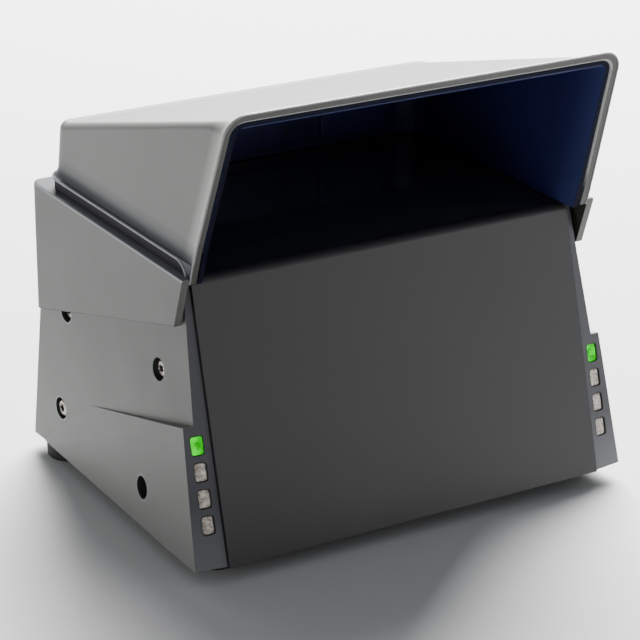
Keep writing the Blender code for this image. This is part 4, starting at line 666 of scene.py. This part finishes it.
def casing():
    bm = of_node("casing")
    wall_leans(bm)
    finishes = [HOUSING, EDGE_WEAR_AND_HIGHLIGHT, STRIP_LIGHT_AND_SHADE, RECESS_SHADE]

    def on_strip(verts):
        return all(abs((strip_frame(1 if vert.co.x > 0 else -1).inverted() @ vert.co).y) < ON_STRIP
                   for vert in verts)

    def outer(edge):
        a, b = ends(edge)
        outside = min(abs(a.x), abs(b.x)) > WALL_HIGH_X and max(a.z, b.z) > LOW_EDGE_Z
        return outside and edge.calc_length() > LONG_EDGE and convex(edge, angle=12)

    def pod_front(edge):
        return outer(edge) and on_strip(edge.verts) and convex(edge, angle=55)

    def in_recess(face):
        return any(
            all(math.hypot(vert.co.y - y, vert.co.z - z) < RECESS_RADIUS for vert in face.verts)
            for y, z in SIDE_SCREWS.values())
    # The rounded pod fronts and outer edges take the lighter edge colour of wear and painted
    # highlight.
    softened(bm, pod_front, POD_FRONT_ROUND, steps=6, material=finishes.index(EDGE_WEAR_AND_HIGHLIGHT))
    softened(bm, outer, CASE_ROUND, steps=4, material=finishes.index(EDGE_WEAR_AND_HIGHLIGHT))
    bm.normal_update()
    # Faces on the indicator strips take the strip colour of painted shade and light.
    faces_take(bm, lambda face: breadth(face) > STRIP_BREADTH and on_strip(face.verts),
               finishes.index(STRIP_LIGHT_AND_SHADE))
    # Faces inside the screw recesses take the painted shade.
    faces_take(bm, in_recess, finishes.index(RECESS_SHADE))
    skin("casing", bm, finishes, "reader", "housing_grey", "_shell", smooth=30, flat=5)


# Front bezel: one moulding over the slope and round the ridge

BEZEL_HALF_WIDTH = 69
BEZEL_PROUD, BEZEL_WALL = 1, 2
BEZEL_TOP_DEPTH, BEZEL_TOP_WALL = 3.5, 3
RIDGE_ROUND, BEZEL_EDGE_ROUND = 3, 1.5
SAME_X, LEAST_PROUD = 0.1, 0.5


def bezel():
    lean = math.cos(FRONT_LEAN)
    top_back = RIDGE_Y + BEZEL_TOP_DEPTH
    inner_top = deck_z(top_back, -BEZEL_TOP_WALL)
    outline = rounded([
        (-BEZEL_PROUD / lean, 0, 0), (BEZEL_WALL / lean, 0, 0),
        (front_y(inner_top) + BEZEL_WALL / lean, inner_top, 0), (top_back, inner_top, 0),
        (top_back, deck_z(top_back), 0), (RIDGE_Y, RIDGE_Z, RIDGE_ROUND)], steps=14)
    bm = profile(outline, BEZEL_HALF_WIDTH)

    def face_edge(edge):
        a, b = ends(edge)
        return abs(a.x - b.x) < SAME_X and all(p.y < front_y(p.z) - LEAST_PROUD for p in (a, b))
    softened(bm, face_edge, BEZEL_EDGE_ROUND, steps=6)
    settle("front_bezel_skin", bm, [BEZEL], "reader", "bezel_charcoal", ["front_bezel"],
           smooth=50)


# Deck frame and its glass

def deck():
    on_top = 0.25
    bm = of_node("deck_frame")

    def mouth(edge):
        level = all(abs(p.z - deck_z(p.y)) < on_top for p in ends(edge))
        return level and convex(edge, angle=40)
    softened(bm, mouth, width=0.35, steps=3)
    skin("deck_frame", bm, [DECK], "reader", "bezel_charcoal")
    glass = of_node("document_glass")
    softened(glass, lambda edge: convex(edge, angle=60), width=0.25, steps=2)
    skin("document_glass", glass, [WINDOW_GLASS], "reader", "document_glass", "_pane")


# Hood: the same sections as its solid, drawn finely
#
# A section is the depth and height of its top, its lean, the half widths of its top, its wall and
# its lip, and the radius of its corner.

HOOD_ROUND, RIM_ROUND = 2.6, 7.0
RIM_SECTION = (-4.5, 142.6, RIM_LEAN, 70.4, 72.6, 72.8, RIM_ROUND)
BACK_SECTION = (100.8, 114.1, HOOD_BACK_LEAN, 70.3, 71.0, 73.0, HOOD_ROUND)
FLARE_REACHES = (0.4, 0.9, 1.5, 2.2, 3.1, 4.2, 5.5)
FLARE_PULL, ROUND_RUN, SPAN_STEPS = 1.2, 12, 6
BACK_TURN, BACK_DROP, BACK_STEPS = 8, 2.6, 10
LIP_RISE, LIP_BLEND, LIP_STEPS, CROWN_STEPS = 7.4, 3.6, 6, 12
HOOD_LOW_RISE, HOOD_WALL, INNER_LOW_RISE, INNER_SETBACK = 1.0, 2.3, -4, -0.8
SLOT_FRONT, SLOT_BACK, SLOT_LOW, SLOT_TOP = 16.6, 121, -8, 6.8
SLOT_ROUND, SLOT_HALF_WIDTH = 5.4, 80
RIM_AHEAD = -Vector(RIM_BACKWARD)
FACING, RIM_END_Y = 0.97, 20


def hood_sections():
    """The sections from the rim to the back, and those of the turn at the back."""
    rim, back = Vector(RIM_SECTION), Vector(BACK_SECTION)
    run = back[0] - rim[0]

    def between(share, pull, radius):
        y, z, lean, half_top, half_wall, half_lip, _ = rim.lerp(back, share)
        return y, z - pull, lean, half_top - pull, half_wall - pull, half_lip, radius
    ahead = [tuple(rim)]
    for reach in FLARE_REACHES:
        curl = 1 - (1 - reach / FLARE_REACHES[-1]) ** 2
        radius = RIM_ROUND - (RIM_ROUND - HOOD_ROUND) * reach / ROUND_RUN
        ahead.append(between(reach / run, FLARE_PULL * curl, radius))
    start = ROUND_RUN / run
    for step in range(SPAN_STEPS):
        share = step / SPAN_STEPS
        ahead.append(between(start + (1 - start) * share, FLARE_PULL * (1 - share), HOOD_ROUND))
    behind = [tuple(back)]
    y, z, _, half_top, half_wall, half_lip, _ = BACK_SECTION
    for angle in quarter_turn(BACK_STEPS, first=1):
        turn = 1 - math.cos(angle)
        pull = BACK_TURN * turn
        behind.append((y + BACK_TURN * math.sin(angle), z - BACK_DROP * turn, back[2],
                       half_top - pull, half_wall - pull, half_lip - pull, HOOD_ROUND))
    return ahead, behind


def hood_ring(section, inset, low_rise, lip):
    """A section's points, drawn in by the inset, with or without the lip."""
    y_top, z_top, lean, half_top, half_wall, half_lip, radius = section
    slope, tilt = math.tan(lean), math.tan(DECK_TILT)

    def at(z):
        return y_top + (z_top - z) * slope

    def on_deck(rise):
        return (RIDGE_Z + rise + tilt * (at(0) - RIDGE_Y)) / (1 + tilt * slope)
    crown, half_top, half_wall = z_top - inset, half_top - inset, half_wall - inset
    half_lip = half_lip - inset if lip else half_wall
    radius = max(radius - inset, radius / 4)
    side = [(half_lip, on_deck(low_rise)), (half_lip, on_deck(LIP_RISE))]
    for angle in quarter_turn(LIP_STEPS, first=1):
        side.append((half_wall + (half_lip - half_wall) * (1 - math.sin(angle)),
                     on_deck(LIP_RISE + LIP_BLEND * (1 - math.cos(angle)))))
    for angle in quarter_turn(CROWN_STEPS):
        side.append((half_top - radius + radius * math.cos(angle),
                     crown - radius + radius * math.sin(angle)))
    return ([Vector((-x, at(z), z)) for x, z in side]
            + [Vector((x, at(z), z)) for x, z in reversed(side)])


def hood_form(inset, low_rise, lip, setback=0.0):
    ahead, behind = hood_sections()
    shift = Vector((0, -inset, 0))
    rings = [hood_ring(section, inset, low_rise, lip) for section in ahead]
    rings += [[point + shift for point in hood_ring(section, inset, low_rise, lip)]
              for section in behind]
    share = setback / (ahead[1][0] - ahead[0][0])
    rings[0] = [a + (b - a) * share for a, b in zip(rings[0], rings[1])]
    return loft(rings)


def on_rim(face):
    return face.normal.dot(RIM_AHEAD) > FACING and face.calc_center_median().y < RIM_END_Y


def hood():
    corners = ((SLOT_FRONT, SLOT_LOW, 0), (SLOT_BACK, SLOT_LOW, 0), (SLOT_BACK, SLOT_TOP, 0),
               (SLOT_FRONT, SLOT_TOP, SLOT_ROUND))
    outline = rounded([(y, deck_z(y, rise), radius) for y, rise, radius in corners], steps=12)
    slot = profile(outline, SLOT_HALF_WIDTH)
    bm = cut(hood_form(0, HOOD_LOW_RISE, lip=True),
             hood_form(HOOD_WALL, INNER_LOW_RISE, lip=False, setback=INNER_SETBACK), slot)
    bm.normal_update()
    finishes = [HOOD_GREY, RIM_FACE_SHADE]
    # The rim's front faces take the painted shade.
    faces_take(bm, on_rim, finishes.index(RIM_FACE_SHADE))
    skin("hood", bm, finishes, "hood", "housing_grey", "_shell", smooth=32)


RIM_BAND = ((0.0, -0.3), (0.0, 0.1), (0.12, 0.24), (0.42, 0.24), (0.54, 0.1), (0.54, -0.3))


def rim_band():
    """The thin raised band round the outer edge of the hood's mouth, by inset and rise."""
    rim = hood_sections()[0][0]
    rows = [[point + RIM_AHEAD * rise for point in hood_ring(rim, inset, HOOD_LOW_RISE, lip=True)]
            for inset, rise in RIM_BAND]
    # The band takes the lighter edge colour of wear and painted highlight.
    settle("hood_rim_band", swept(rows), [EDGE_WEAR_AND_HIGHLIGHT], "hood", "housing_grey", smooth=40)


# The bead's path is given as depths and rises over the deck.

BEAD_RADIUS, BEAD_ROUNDING = 0.42, 3
BEAD_START = ((14.9, 1.3), (15.6, 1.35), (16.15, 1.55), (16.5, 1.95))
BEAD_TURN_Y, BEAD_TURN_RISE, BEAD_TURN_STEPS = 22.0, 1.4, 12
BEAD_LEVEL_Y, BEAD_BACK_Z = range(30, 99, 8), 96
LIP_FRONT_X, LIP_GAIN, LIP_START_Y, LIP_RUN = 72.7, 0.3, 8, 93


def lip_bead():
    """The fine bead along the hood's lower edge, turned down round the front of the slot."""
    side = list(BEAD_START)
    for angle in quarter_turn(BEAD_TURN_STEPS, first=1):
        side.append((BEAD_TURN_Y - SLOT_ROUND * math.cos(angle),
                     BEAD_TURN_RISE + SLOT_ROUND * math.sin(angle)))
    side += [(y, SLOT_TOP) for y in BEAD_LEVEL_Y]
    points = [Vector((LIP_FRONT_X + LIP_GAIN * (y - LIP_START_Y) / LIP_RUN, y, deck_z(y, rise)))
              for y, rise in side]
    for y_top, z_top, lean, _, _, half_lip, _ in hood_sections()[1]:
        y = y_top + (z_top - BEAD_BACK_Z) * math.tan(lean)
        points.append(Vector((half_lip, y, deck_z(y, SLOT_TOP))))
    path = points + [Vector((-p.x, p.y, p.z)) for p in reversed(points)]
    curve = bpy.data.curves.new("lip_line", "CURVE")
    curve.dimensions = "3D"
    curve.bevel_depth = BEAD_RADIUS
    curve.bevel_resolution = BEAD_ROUNDING
    curve.use_fill_caps = True
    spline = curve.splines.new("POLY")
    spline.points.add(len(path) - 1)
    for point, place in zip(spline.points, path):
        point.co = (*place, 1)
    bm = taken(placed("lip_line", curve))
    bmesh.ops.remove_doubles(bm, verts=bm.verts, dist=WELD)
    # The bead takes the painted sky highlight.
    settle("hood_lip_bead", bm, [SKY_HIGHLIGHT_EDGE], "hood", "housing_grey", smooth=60)


# Liner: the dark inside of the hood, with its panels

LINER_EDGE_ROUND, LEAST_EDGE, LINER_AXIS_RISE, GROOVE_TOP = 1.05, 0.3, 12, 7
GROOVE_SIDE, GROOVE_BACK, GROOVE_FLOOR = 20, 0.5, 0.8
PANELS_X, PANEL_PLACE = (-41, 0, 41), (0, 104.55, 101)
PANEL_SIZE = (13, 8.5, 2)
PANEL_BACK, PANEL_FACE, PANEL_TOP = -0.6, 0.25, 0.5
PANEL_TAPER_X, PANEL_TAPER_Y = 0.97, 0.96


def liner():
    bm = of_node("hood_liner")
    bm.normal_update()
    finishes = [LINER, RIM_INNER, GROOVE]
    rim = finishes.index(RIM_INNER)
    faces_take(bm, on_rim, rim)

    def inner_edge(edge):
        others = [face for face in edge.link_faces if not on_rim(face)]
        if len(others) != 1 or edge.calc_length() < LEAST_EDGE:
            return False
        middle = others[0].calc_center_median()
        axis = Vector((0, middle.y, deck_z(middle.y, LINER_AXIS_RISE)))
        return others[0].normal.dot(middle - axis) < 0

    def in_groove(face):
        middle = face.calc_center_median()
        outward = face.normal.x * middle.x > GROOVE_SIDE or face.normal.y > GROOVE_BACK
        low = middle.z < deck_z(middle.y, GROOVE_TOP)
        return low and (outward or abs(face.normal.z) > GROOVE_FLOOR)
    softened(bm, inner_edge, LINER_EDGE_ROUND, steps=2, material=rim)
    faces_take(bm, in_groove, finishes.index(GROOVE))
    skin("hood_liner", bm, finishes, "hood", "liner_black", smooth=40)


def liner_panels():
    on_back = Matrix.Translation(PANEL_PLACE) @ Matrix.Rotation(HOOD_BACK_LEAN, 4, "X") @ STAND
    panels = []
    for middle in PANELS_X:
        outline = [(x + middle, y) for x, y in rectangle(*PANEL_SIZE)]
        raised = [(middle + (x - middle) * PANEL_TAPER_X, y * PANEL_TAPER_Y) for x, y in outline]
        steps = (outline, PANEL_BACK), (outline, PANEL_FACE), (raised, PANEL_TOP)
        panels.append(loft([[on_back @ Vector((x, y, depth)) for x, y in ring]
                            for ring, depth in steps]))
    settle("hood_liner_panels", merged(*panels), [LINER_PANEL], "hood", "liner_black", smooth=35)


# Collar: its top edge a chamfer painted a cooler grey as a painted sky highlight; its top flat,
# inner faces, foot edge and front ends carry painted shade

COLLAR_FOOT_ROUND = 0.45
COLLAR_OUTER_X, COLLAR_OUTER_Y = 74.5, 108
COLLAR_TOP_RISE, COLLAR_INNER_RISE = 1.5, 2.5
SLOPING, LEVEL, UPRIGHT, ENDWARD, INWARD = 0.25, 0.9, 0.3, 0.6, 20


def collar():
    bm = of_node("hood_collar")
    bm.normal_update()
    finishes = [HOUSING, SKY_HIGHLIGHT_EDGE, COLLAR_SHADE, COLLAR_END_SHADE, COLLAR_TOP_SHADE]

    def top(face):
        middle = face.calc_center_median()
        return face.normal.z > SLOPING and middle.z > deck_z(middle.y, COLLAR_TOP_RISE)

    def inward(face):
        middle = face.calc_center_median()
        low = middle.z < deck_z(middle.y, COLLAR_INNER_RISE)
        return low and face.normal.x * middle.x < -INWARD

    def foot_edge(edge):
        a, b = ends(edge)
        middle = (a + b) / 2
        outside = abs(middle.x) > COLLAR_OUTER_X or middle.y > COLLAR_OUTER_Y
        below = any(face.normal.z < -LEVEL for face in edge.link_faces)
        return outside and below and any(abs(face.normal.z) < UPRIGHT for face in edge.link_faces)
    # Painted shade: the foot edge's rounding, the top flat, the inward faces and the front ends;
    # the top chamfer takes the painted sky highlight.
    softened(bm, foot_edge, COLLAR_FOOT_ROUND, steps=2, material=finishes.index(COLLAR_SHADE))
    faces_take(bm, top, finishes.index(SKY_HIGHLIGHT_EDGE))
    faces_take(bm, lambda face: top(face) and face.normal.z > LEVEL, finishes.index(COLLAR_TOP_SHADE))
    faces_take(bm, inward, finishes.index(COLLAR_SHADE))
    faces_take(bm, lambda face: face.normal.y < -ENDWARD, finishes.index(COLLAR_END_SHADE))
    skin("hood_collar", bm, finishes, "hood", "housing_grey", smooth=30)


# Indicator windows: domed lenses in dark-edged pockets

WINDOW_X = 4.3
LENS_HALF_WIDTH, LENS_HALF_HEIGHT, LENS_ROUND, LENS_LEAST_ROUND = 2.0, 2.85, 0.9, 0.25
LENS_STEPS = ((0, -2.6), (0, -0.75), (0.1, -0.55), (0.35, -0.42), (0.8, -0.34), (1.4, -0.3))
SURROUND_DEPTH, SURROUND_STEPS, SURROUND_SIDES = 0.14, 5, 8
SURROUND_SIZES = {"Width": 4.32, "Height": 6.02, "Corner": 1.05, "Thickness": 0.17}


def window(side_name, side, number):
    """One lens, from its back to its dome in steps of inset and depth; the first is lit."""
    place = strip_frame(side) @ Matrix.Translation(
        (side * WINDOW_X, 0, WINDOW_HEIGHTS[WINDOW_COUNT - number])) @ STAND
    rings = []
    for inset, depth in LENS_STEPS:
        outline = rectangle(LENS_HALF_WIDTH - inset, LENS_HALF_HEIGHT - inset,
                            max(LENS_ROUND - inset, LENS_LEAST_ROUND))
        rings.append([place @ Vector((x, y, depth)) for x, y in outline])
    name = f"indicator_window_{side_name}_{number}"
    lit = number == 1
    settle(name + "_lens", loft(rings), [LIT if lit else UNLIT], "reader",
           "indicator_lit" if lit else "indicator_unlit", [name], smooth=50)


def windows():
    for side_name, side in SIDES.items():
        for number in range(1, WINDOW_COUNT + 1):
            window(side_name, side, number)


def surround_shape(tree, given):
    """A thin bar bent round a rectangle with round corners."""
    path = add(tree, "GeometryNodeCurvePrimitiveQuadrilateral", [
        (given["Width"], "Width"), (given["Height"], "Height")])
    corner = add(tree, "GeometryNodeFilletCurve", [
        (path.outputs["Curve"], "Curve"), (given["Corner"], "Radius")])
    corner.mode = "POLY"
    corner.inputs["Count"].default_value = SURROUND_STEPS
    section = add(tree, "GeometryNodeCurvePrimitiveCircle", [(given["Thickness"], "Radius")],
                  Resolution=SURROUND_SIDES)
    bar = add(tree, "GeometryNodeCurveToMesh", [
        (corner.outputs["Curve"], "Curve"), (section.outputs["Curve"], "Profile Curve")])
    return bar.outputs["Mesh"]


def surrounds():
    tree = repeat_tree("window_surround", list(SURROUND_SIZES), surround_shape)
    places = [
        strip_frame(side) @ Matrix.Translation((side * WINDOW_X, SURROUND_DEPTH, height)) @ STAND
        for side in SIDES.values() for height in WINDOW_HEIGHTS]
    repeated("window_surrounds", tree, places, SURROUND_SIZES, POCKET, "reader", "bezel_charcoal")


# Screws: heads with a six-lobed socket, on their side and base places

HEAD_RISES = {"proud": 2.0, "sunk": 1.3}
PROUD_SCREWS = ("front_upper", "back_lower")
HEAD_SIDES = 40
HEAD_CROWN = ((1.6, 0.0), (2.0, -0.03), (2.45, -0.2), (2.8, -0.55), (2.95, -0.85), (3.12, -0.95))
HEAD_SKIRT = ((3.15, 0.2), (3.05, 0.0), (1.5, 0.0), (1.5, 0.3))
LOBE_COUNT, LOBE_RADIUS, LOBE_DEPTH, LOBE_STEPS = 6, 1.3, 0.24, 48
PLUG_RADIUS, PLUG_LOW, PLUG_DROP, SOCKET_FLOOR, OVERRUN = 1.62, 0.02, 0.1, 0.25, 0.5
THREAD_TURNS, THREAD_STEPS, THREAD_PITCH, THREAD_TOP = 8, 14, 0.62, -0.35
THREAD_SECTION = ((0.95, 0.22), (1.28, 0.0), (0.95, -0.22))
SHANK_SIDES = 24
SHANK = ((0.0, 0.05), (1.0, 0.05), (1.0, -4.9), (0.75, -5.25), (0.0, -5.25))
SCREW_SEAT_X, FIRST_TWIST, TWIST_STEP = 70.3, 17, 23
BASE_SCREWS_Y = {"front": 36.0, "back": 99.0}
BASE_SCREW_X, BASE_SCREW_SEAT = 46.0, 0.3


def screw_shape(rise):
    """A pan head with a six-lobed socket on a threaded shank; its seat is at z = 0."""
    crown = tuple((radius, rise + drop) for radius, drop in HEAD_CROWN)
    head = lathe(crown + HEAD_SKIRT, HEAD_SIDES)
    lobes = [polar(LOBE_RADIUS + LOBE_DEPTH * math.cos(LOBE_COUNT * angle), angle)
             for angle in full_turn(LOBE_STEPS)]
    disc = [polar(PLUG_RADIUS, angle) for angle in full_turn(LOBE_STEPS)]
    plug = cut(slab(disc, PLUG_LOW, rise - PLUG_DROP), slab(lobes, SOCKET_FLOOR, rise + OVERRUN))
    rows = []
    for index in range(THREAD_TURNS * THREAD_STEPS + 1):
        angle = 2 * math.pi * index / THREAD_STEPS
        z = THREAD_TOP - THREAD_PITCH * index / THREAD_STEPS
        rows.append([polar(radius, angle, z + lift) for radius, lift in THREAD_SECTION])
    bm = merged(head, plug, loft(rows), lathe(SHANK, SHANK_SIDES))
    bmesh.ops.recalc_face_normals(bm, faces=bm.faces)
    return bm


def screw_source(pattern, tree, given):
    info = add(tree, "GeometryNodeObjectInfo", Object=pattern)
    size = add(tree, "ShaderNodeCombineXYZ", [(given["Size"], axis) for axis in "XYZ"])
    scaled = add(tree, "GeometryNodeTransform", [
        (info.outputs["Geometry"], "Geometry"), (size.outputs["Vector"], "Scale")])
    return scaled.outputs["Geometry"]


def screws():
    places = {kind: {} for kind in HEAD_RISES}
    down = Matrix.Rotation(math.radians(180), 4, "X")
    for side_name, side in SIDES.items():
        outward = Matrix.Rotation(side * math.radians(90), 4, "Y")
        for index, (spot, (y, z)) in enumerate(SIDE_SCREWS.items()):
            twist = Matrix.Rotation(math.radians(FIRST_TWIST + TWIST_STEP * index), 4, "Z")
            kind = "proud" if spot in PROUD_SCREWS else "sunk"
            places[kind][f"side_screw_{side_name}_{spot}"] = (
                Matrix.Translation((side * SCREW_SEAT_X, y, z)) @ outward @ twist)
        for spot, y in BASE_SCREWS_Y.items():
            places["sunk"][f"base_screw_{spot}_{side_name}"] = (
                Matrix.Translation((side * BASE_SCREW_X, y, BASE_SCREW_SEAT)) @ down)
    for kind, rise in HEAD_RISES.items():
        pattern = placed(kind + "_pattern", mesh_of(kind + "_pattern", screw_shape(rise)))
        tree = repeat_tree(kind + "_screw_set", ["Size"], partial(screw_source, pattern))
        repeated(kind + "_screws", tree, list(places[kind].values()), {"Size": 1.0}, STEEL,
                 "reader", "screw_steel", list(places[kind]))
        bpy.data.objects.remove(pattern, do_unlink=True)


# Recess rings; a section is given as radii and lifts off the wall

RING_SECTION = ((3.6, -0.9), (3.64, -0.35), (3.84, -0.03), (4.02, 0.05), (4.16, 0.03),
                (4.22, -0.2), (3.9, -0.9))
RING_STEPS, RING_REACH, RING_DARK_RADIUS = 48, 4.3, 3.78
WALL_X, RAY_START_X = 72.7, 120


def recess_rings():
    """A chamfered lip round each screw recess, laid on the casing's own side."""
    solid = of_node("casing")
    surface = BVHTree.FromBMesh(solid)

    def wall_x(side, y, z):
        hit = surface.ray_cast(Vector((side * RAY_START_X, y, z)), Vector((-side, 0, 0)))[0]
        return hit.x if hit else side * WALL_X

    def ring(side, y, z):
        ahead, behind = wall_x(side, y - RING_REACH, z), wall_x(side, y + RING_REACH, z)
        above, below = wall_x(side, y, z + RING_REACH), wall_x(side, y, z - RING_REACH)
        middle = (ahead + behind + above + below) / 4
        span = 2 * RING_REACH
        rows = []
        for radius, lift in RING_SECTION:
            row = []
            for angle in full_turn(RING_STEPS) + [2 * math.pi]:
                dy, dz = polar(radius, angle)
                x = middle + (behind - ahead) / span * dy + (above - below) / span * dz
                row.append(Vector((x + side * lift, y + dy, z + dz)))
            rows.append(row)
        bm = swept(rows, capped=False)
        bmesh.ops.remove_doubles(bm, verts=bm.verts, dist=WELD)
        # Faces of the lip nearer than RING_DARK_RADIUS take the recess's painted shade, the rest
        # the lighter painted highlight.
        for face in bm.faces:
            at = face.calc_center_median()
            face.material_index = int(math.hypot(at.y - y, at.z - z) < RING_DARK_RADIUS)
        return bm
    rings = [ring(side, y, z) for side in SIDES.values() for y, z in SIDE_SCREWS.values()]
    solid.free()
    settle("screw_recess_rings", merged(*rings), [SKY_HIGHLIGHT_EDGE, RECESS_SHADE], "reader",
           "housing_grey", smooth=50)


# Feet: turned pads with a grooved sole

FEET_Y, FOOT_X, FOOT_SIDES = {"front": 16.0, "back": 113.9}, 64.9, 48
FOOT_SECTION = (
    (0.0, 2.7), (2.15, 2.7), (2.2, 0.3), (4.75, 0.3), (4.8, -0.35), (7.5, -0.35), (7.95, -0.8),
    (7.9, -2.6), (7.75, -4.9), (7.2, -5.46), (6.1, -5.5), (5.9, -5.1), (5.5, -5.1), (5.3, -5.5),
    (3.9, -5.5), (3.7, -5.1), (3.3, -5.1), (3.1, -5.5), (0.0, -5.5))


def feet():
    for side_name, side in SIDES.items():
        for spot, y in FEET_Y.items():
            name = f"foot_{spot}_{side_name}"
            foot = lathe(FOOT_SECTION, FOOT_SIDES, Matrix.Translation((side * FOOT_X, y, 0)))
            settle(name + "_pad", foot, [RUBBER], "reader", "foot_rubber", [name], smooth=35)


# Sockets at the back: a square data socket with its tongue, a round power socket

USB_LONG_EDGE, USB_TONGUE = 3, ((21.6, 114.6, 13.1), (26.4, 122.6, 16.1))
PINS_X, PINS_Z, PIN_START_Y, PIN_END_Y = (22.4, 24.9), (12.95, 16.0), 115.5, 122.3
PIN_WIDTH, PIN_THICKNESS = 0.7, 0.25
POWER_PIN = ((0.0, 5.6), (0.55, 5.5), (0.95, 5.0), (1.04, 0.0), (0.0, 0.0))
POWER_PIN_PLACE, POWER_PIN_SIDES = (4.0, 112.9, 14.6), 24


def sockets():
    usb = of_node("usb_socket")
    softened(usb, lambda edge: convex(edge, angle=60) and edge.calc_length() > USB_LONG_EDGE,
             width=0.3, steps=2)
    skin("usb_socket", usb, [SHIELD], "reader", "shield_steel", "_shell")
    tongue = box(*USB_TONGUE)
    softened(tongue, lambda edge: True, width=0.25, steps=2)
    settle("usb_tongue", tongue, [POCKET], "reader", "optics_black")
    pins = [box((x, PIN_START_Y, z), (x + PIN_WIDTH, PIN_END_Y, z + PIN_THICKNESS))
            for x in PINS_X for z in PINS_Z]
    settle("usb_contacts", merged(*pins), [CONTACT], "reader", "screw_steel")
    skin("power_socket", of_node("power_socket"), [POCKET], "reader", "optics_black", "_body")
    backward = Matrix.Rotation(math.radians(-90), 4, "X")
    pin = lathe(POWER_PIN, POWER_PIN_SIDES, Matrix.Translation(POWER_PIN_PLACE) @ backward)
    settle("power_pin", pin, [CONTACT], "reader", "screw_steel")


def base():
    skin("base_plate", of_node("base_plate"), [BASE], "reader", "bezel_charcoal")


# Finishes of the pieces that keep their solid's form

KEPT = (
    (BOARD, "antenna_board", "camera_board", "main_board", "radio_board",
     "indicator_board_left", "indicator_board_right"),
    (OPTICS, "chassis", "lens_holder", "lens_barrel", "buzzer"),
    (LIGHT_BOARD, "light_board_left", "light_board_right"),
    (DIFFUSER, "diffuser_left", "diffuser_right"),
    (GASKET, "glass_gasket"), (MIRROR, "mirror"), (BRACKET, "mirror_bracket"),
    (LENS_GLASS, "lens"), (SENSOR, "image_sensor"), (SHIELD, "shield_can"),
    (RIBBON, "ribbon_cable"))


def kept_pieces():
    for finish, *names in KEPT:
        for name in names:
            for slot in CAD[name].material_slots:
                slot.material = finish


# Camera, floor and light, in metres and degrees

CAMERA_PLACE, CAMERA_ELEVATION, CAMERA_AZIMUTH = (-0.4463, -0.7288, 0.3746), 20.69, -31.55
FLOOR_REACH, LAMPS_AIM = 6, (0, 0, 0.07)


def camera():
    made = bpy.data.cameras.new("camera")
    made.lens = 157.5
    made.sensor_width = 36
    made.clip_start = 0.01
    eye = placed("camera", made)
    eye.location = CAMERA_PLACE
    eye.rotation_euler = (math.radians(90 - CAMERA_ELEVATION), 0, math.radians(CAMERA_AZIMUTH))
    bpy.context.scene.camera = eye


def floor():
    bm = bmesh.new()
    bmesh.ops.create_grid(bm, x_segments=1, y_segments=1, size=FLOOR_REACH)
    mesh = mesh_of("floor", bm)
    ground = Finish("floor_paper", (0.5, 0.5, 0.5), 0.75)
    ground.colour(ground.noise(scale=3, detail=3),
                  (0.3, (0.49, 0.49, 0.49)), (0.7, (0.51, 0.51, 0.51)))
    mesh.materials.append(ground.made)
    made = placed("floor", mesh)


def lamp(name, power, size, place, colour=(1, 1, 1)):
    """An area lamp that faces the middle of the reader."""
    light = bpy.data.lights.new(name, "AREA")
    light.energy = power
    light.size = size
    light.color = colour
    made = placed(name, light)
    made.location = place
    away = Vector(place) - Vector(LAMPS_AIM)
    made.rotation_euler = away.to_track_quat("Z", "Y").to_euler()


def lights():
    world = bpy.data.worlds.new("studio")
    world.use_nodes = True
    air = world.node_tree.nodes["Background"]
    air.inputs["Color"].default_value = (0.92, 0.95, 1.0, 1)
    air.inputs["Strength"].default_value = 0.3
    bpy.context.scene.world = world
    lamp("overhead", power=278, size=1.2, place=(0.8, 1.0, 1.2))
    lamp("back_left", power=5, size=0.8, place=(-0.45, 1.9, 0.6), colour=(1, 0.99, 0.96))
    lamp("left_low", power=12, size=1.0, place=(-1.8, -0.25, 0.25))
    lamp("right_front", power=6, size=0.8, place=(1.5, -1.45, 0.35), colour=(0.96, 0.98, 1))


casing()
bezel()
deck()
hood()
rim_band()
lip_bead()
liner()
liner_panels()
collar()
windows()
surrounds()
screws()
recess_rings()
feet()
sockets()
base()
kept_pieces()
camera()
floor()
lights()
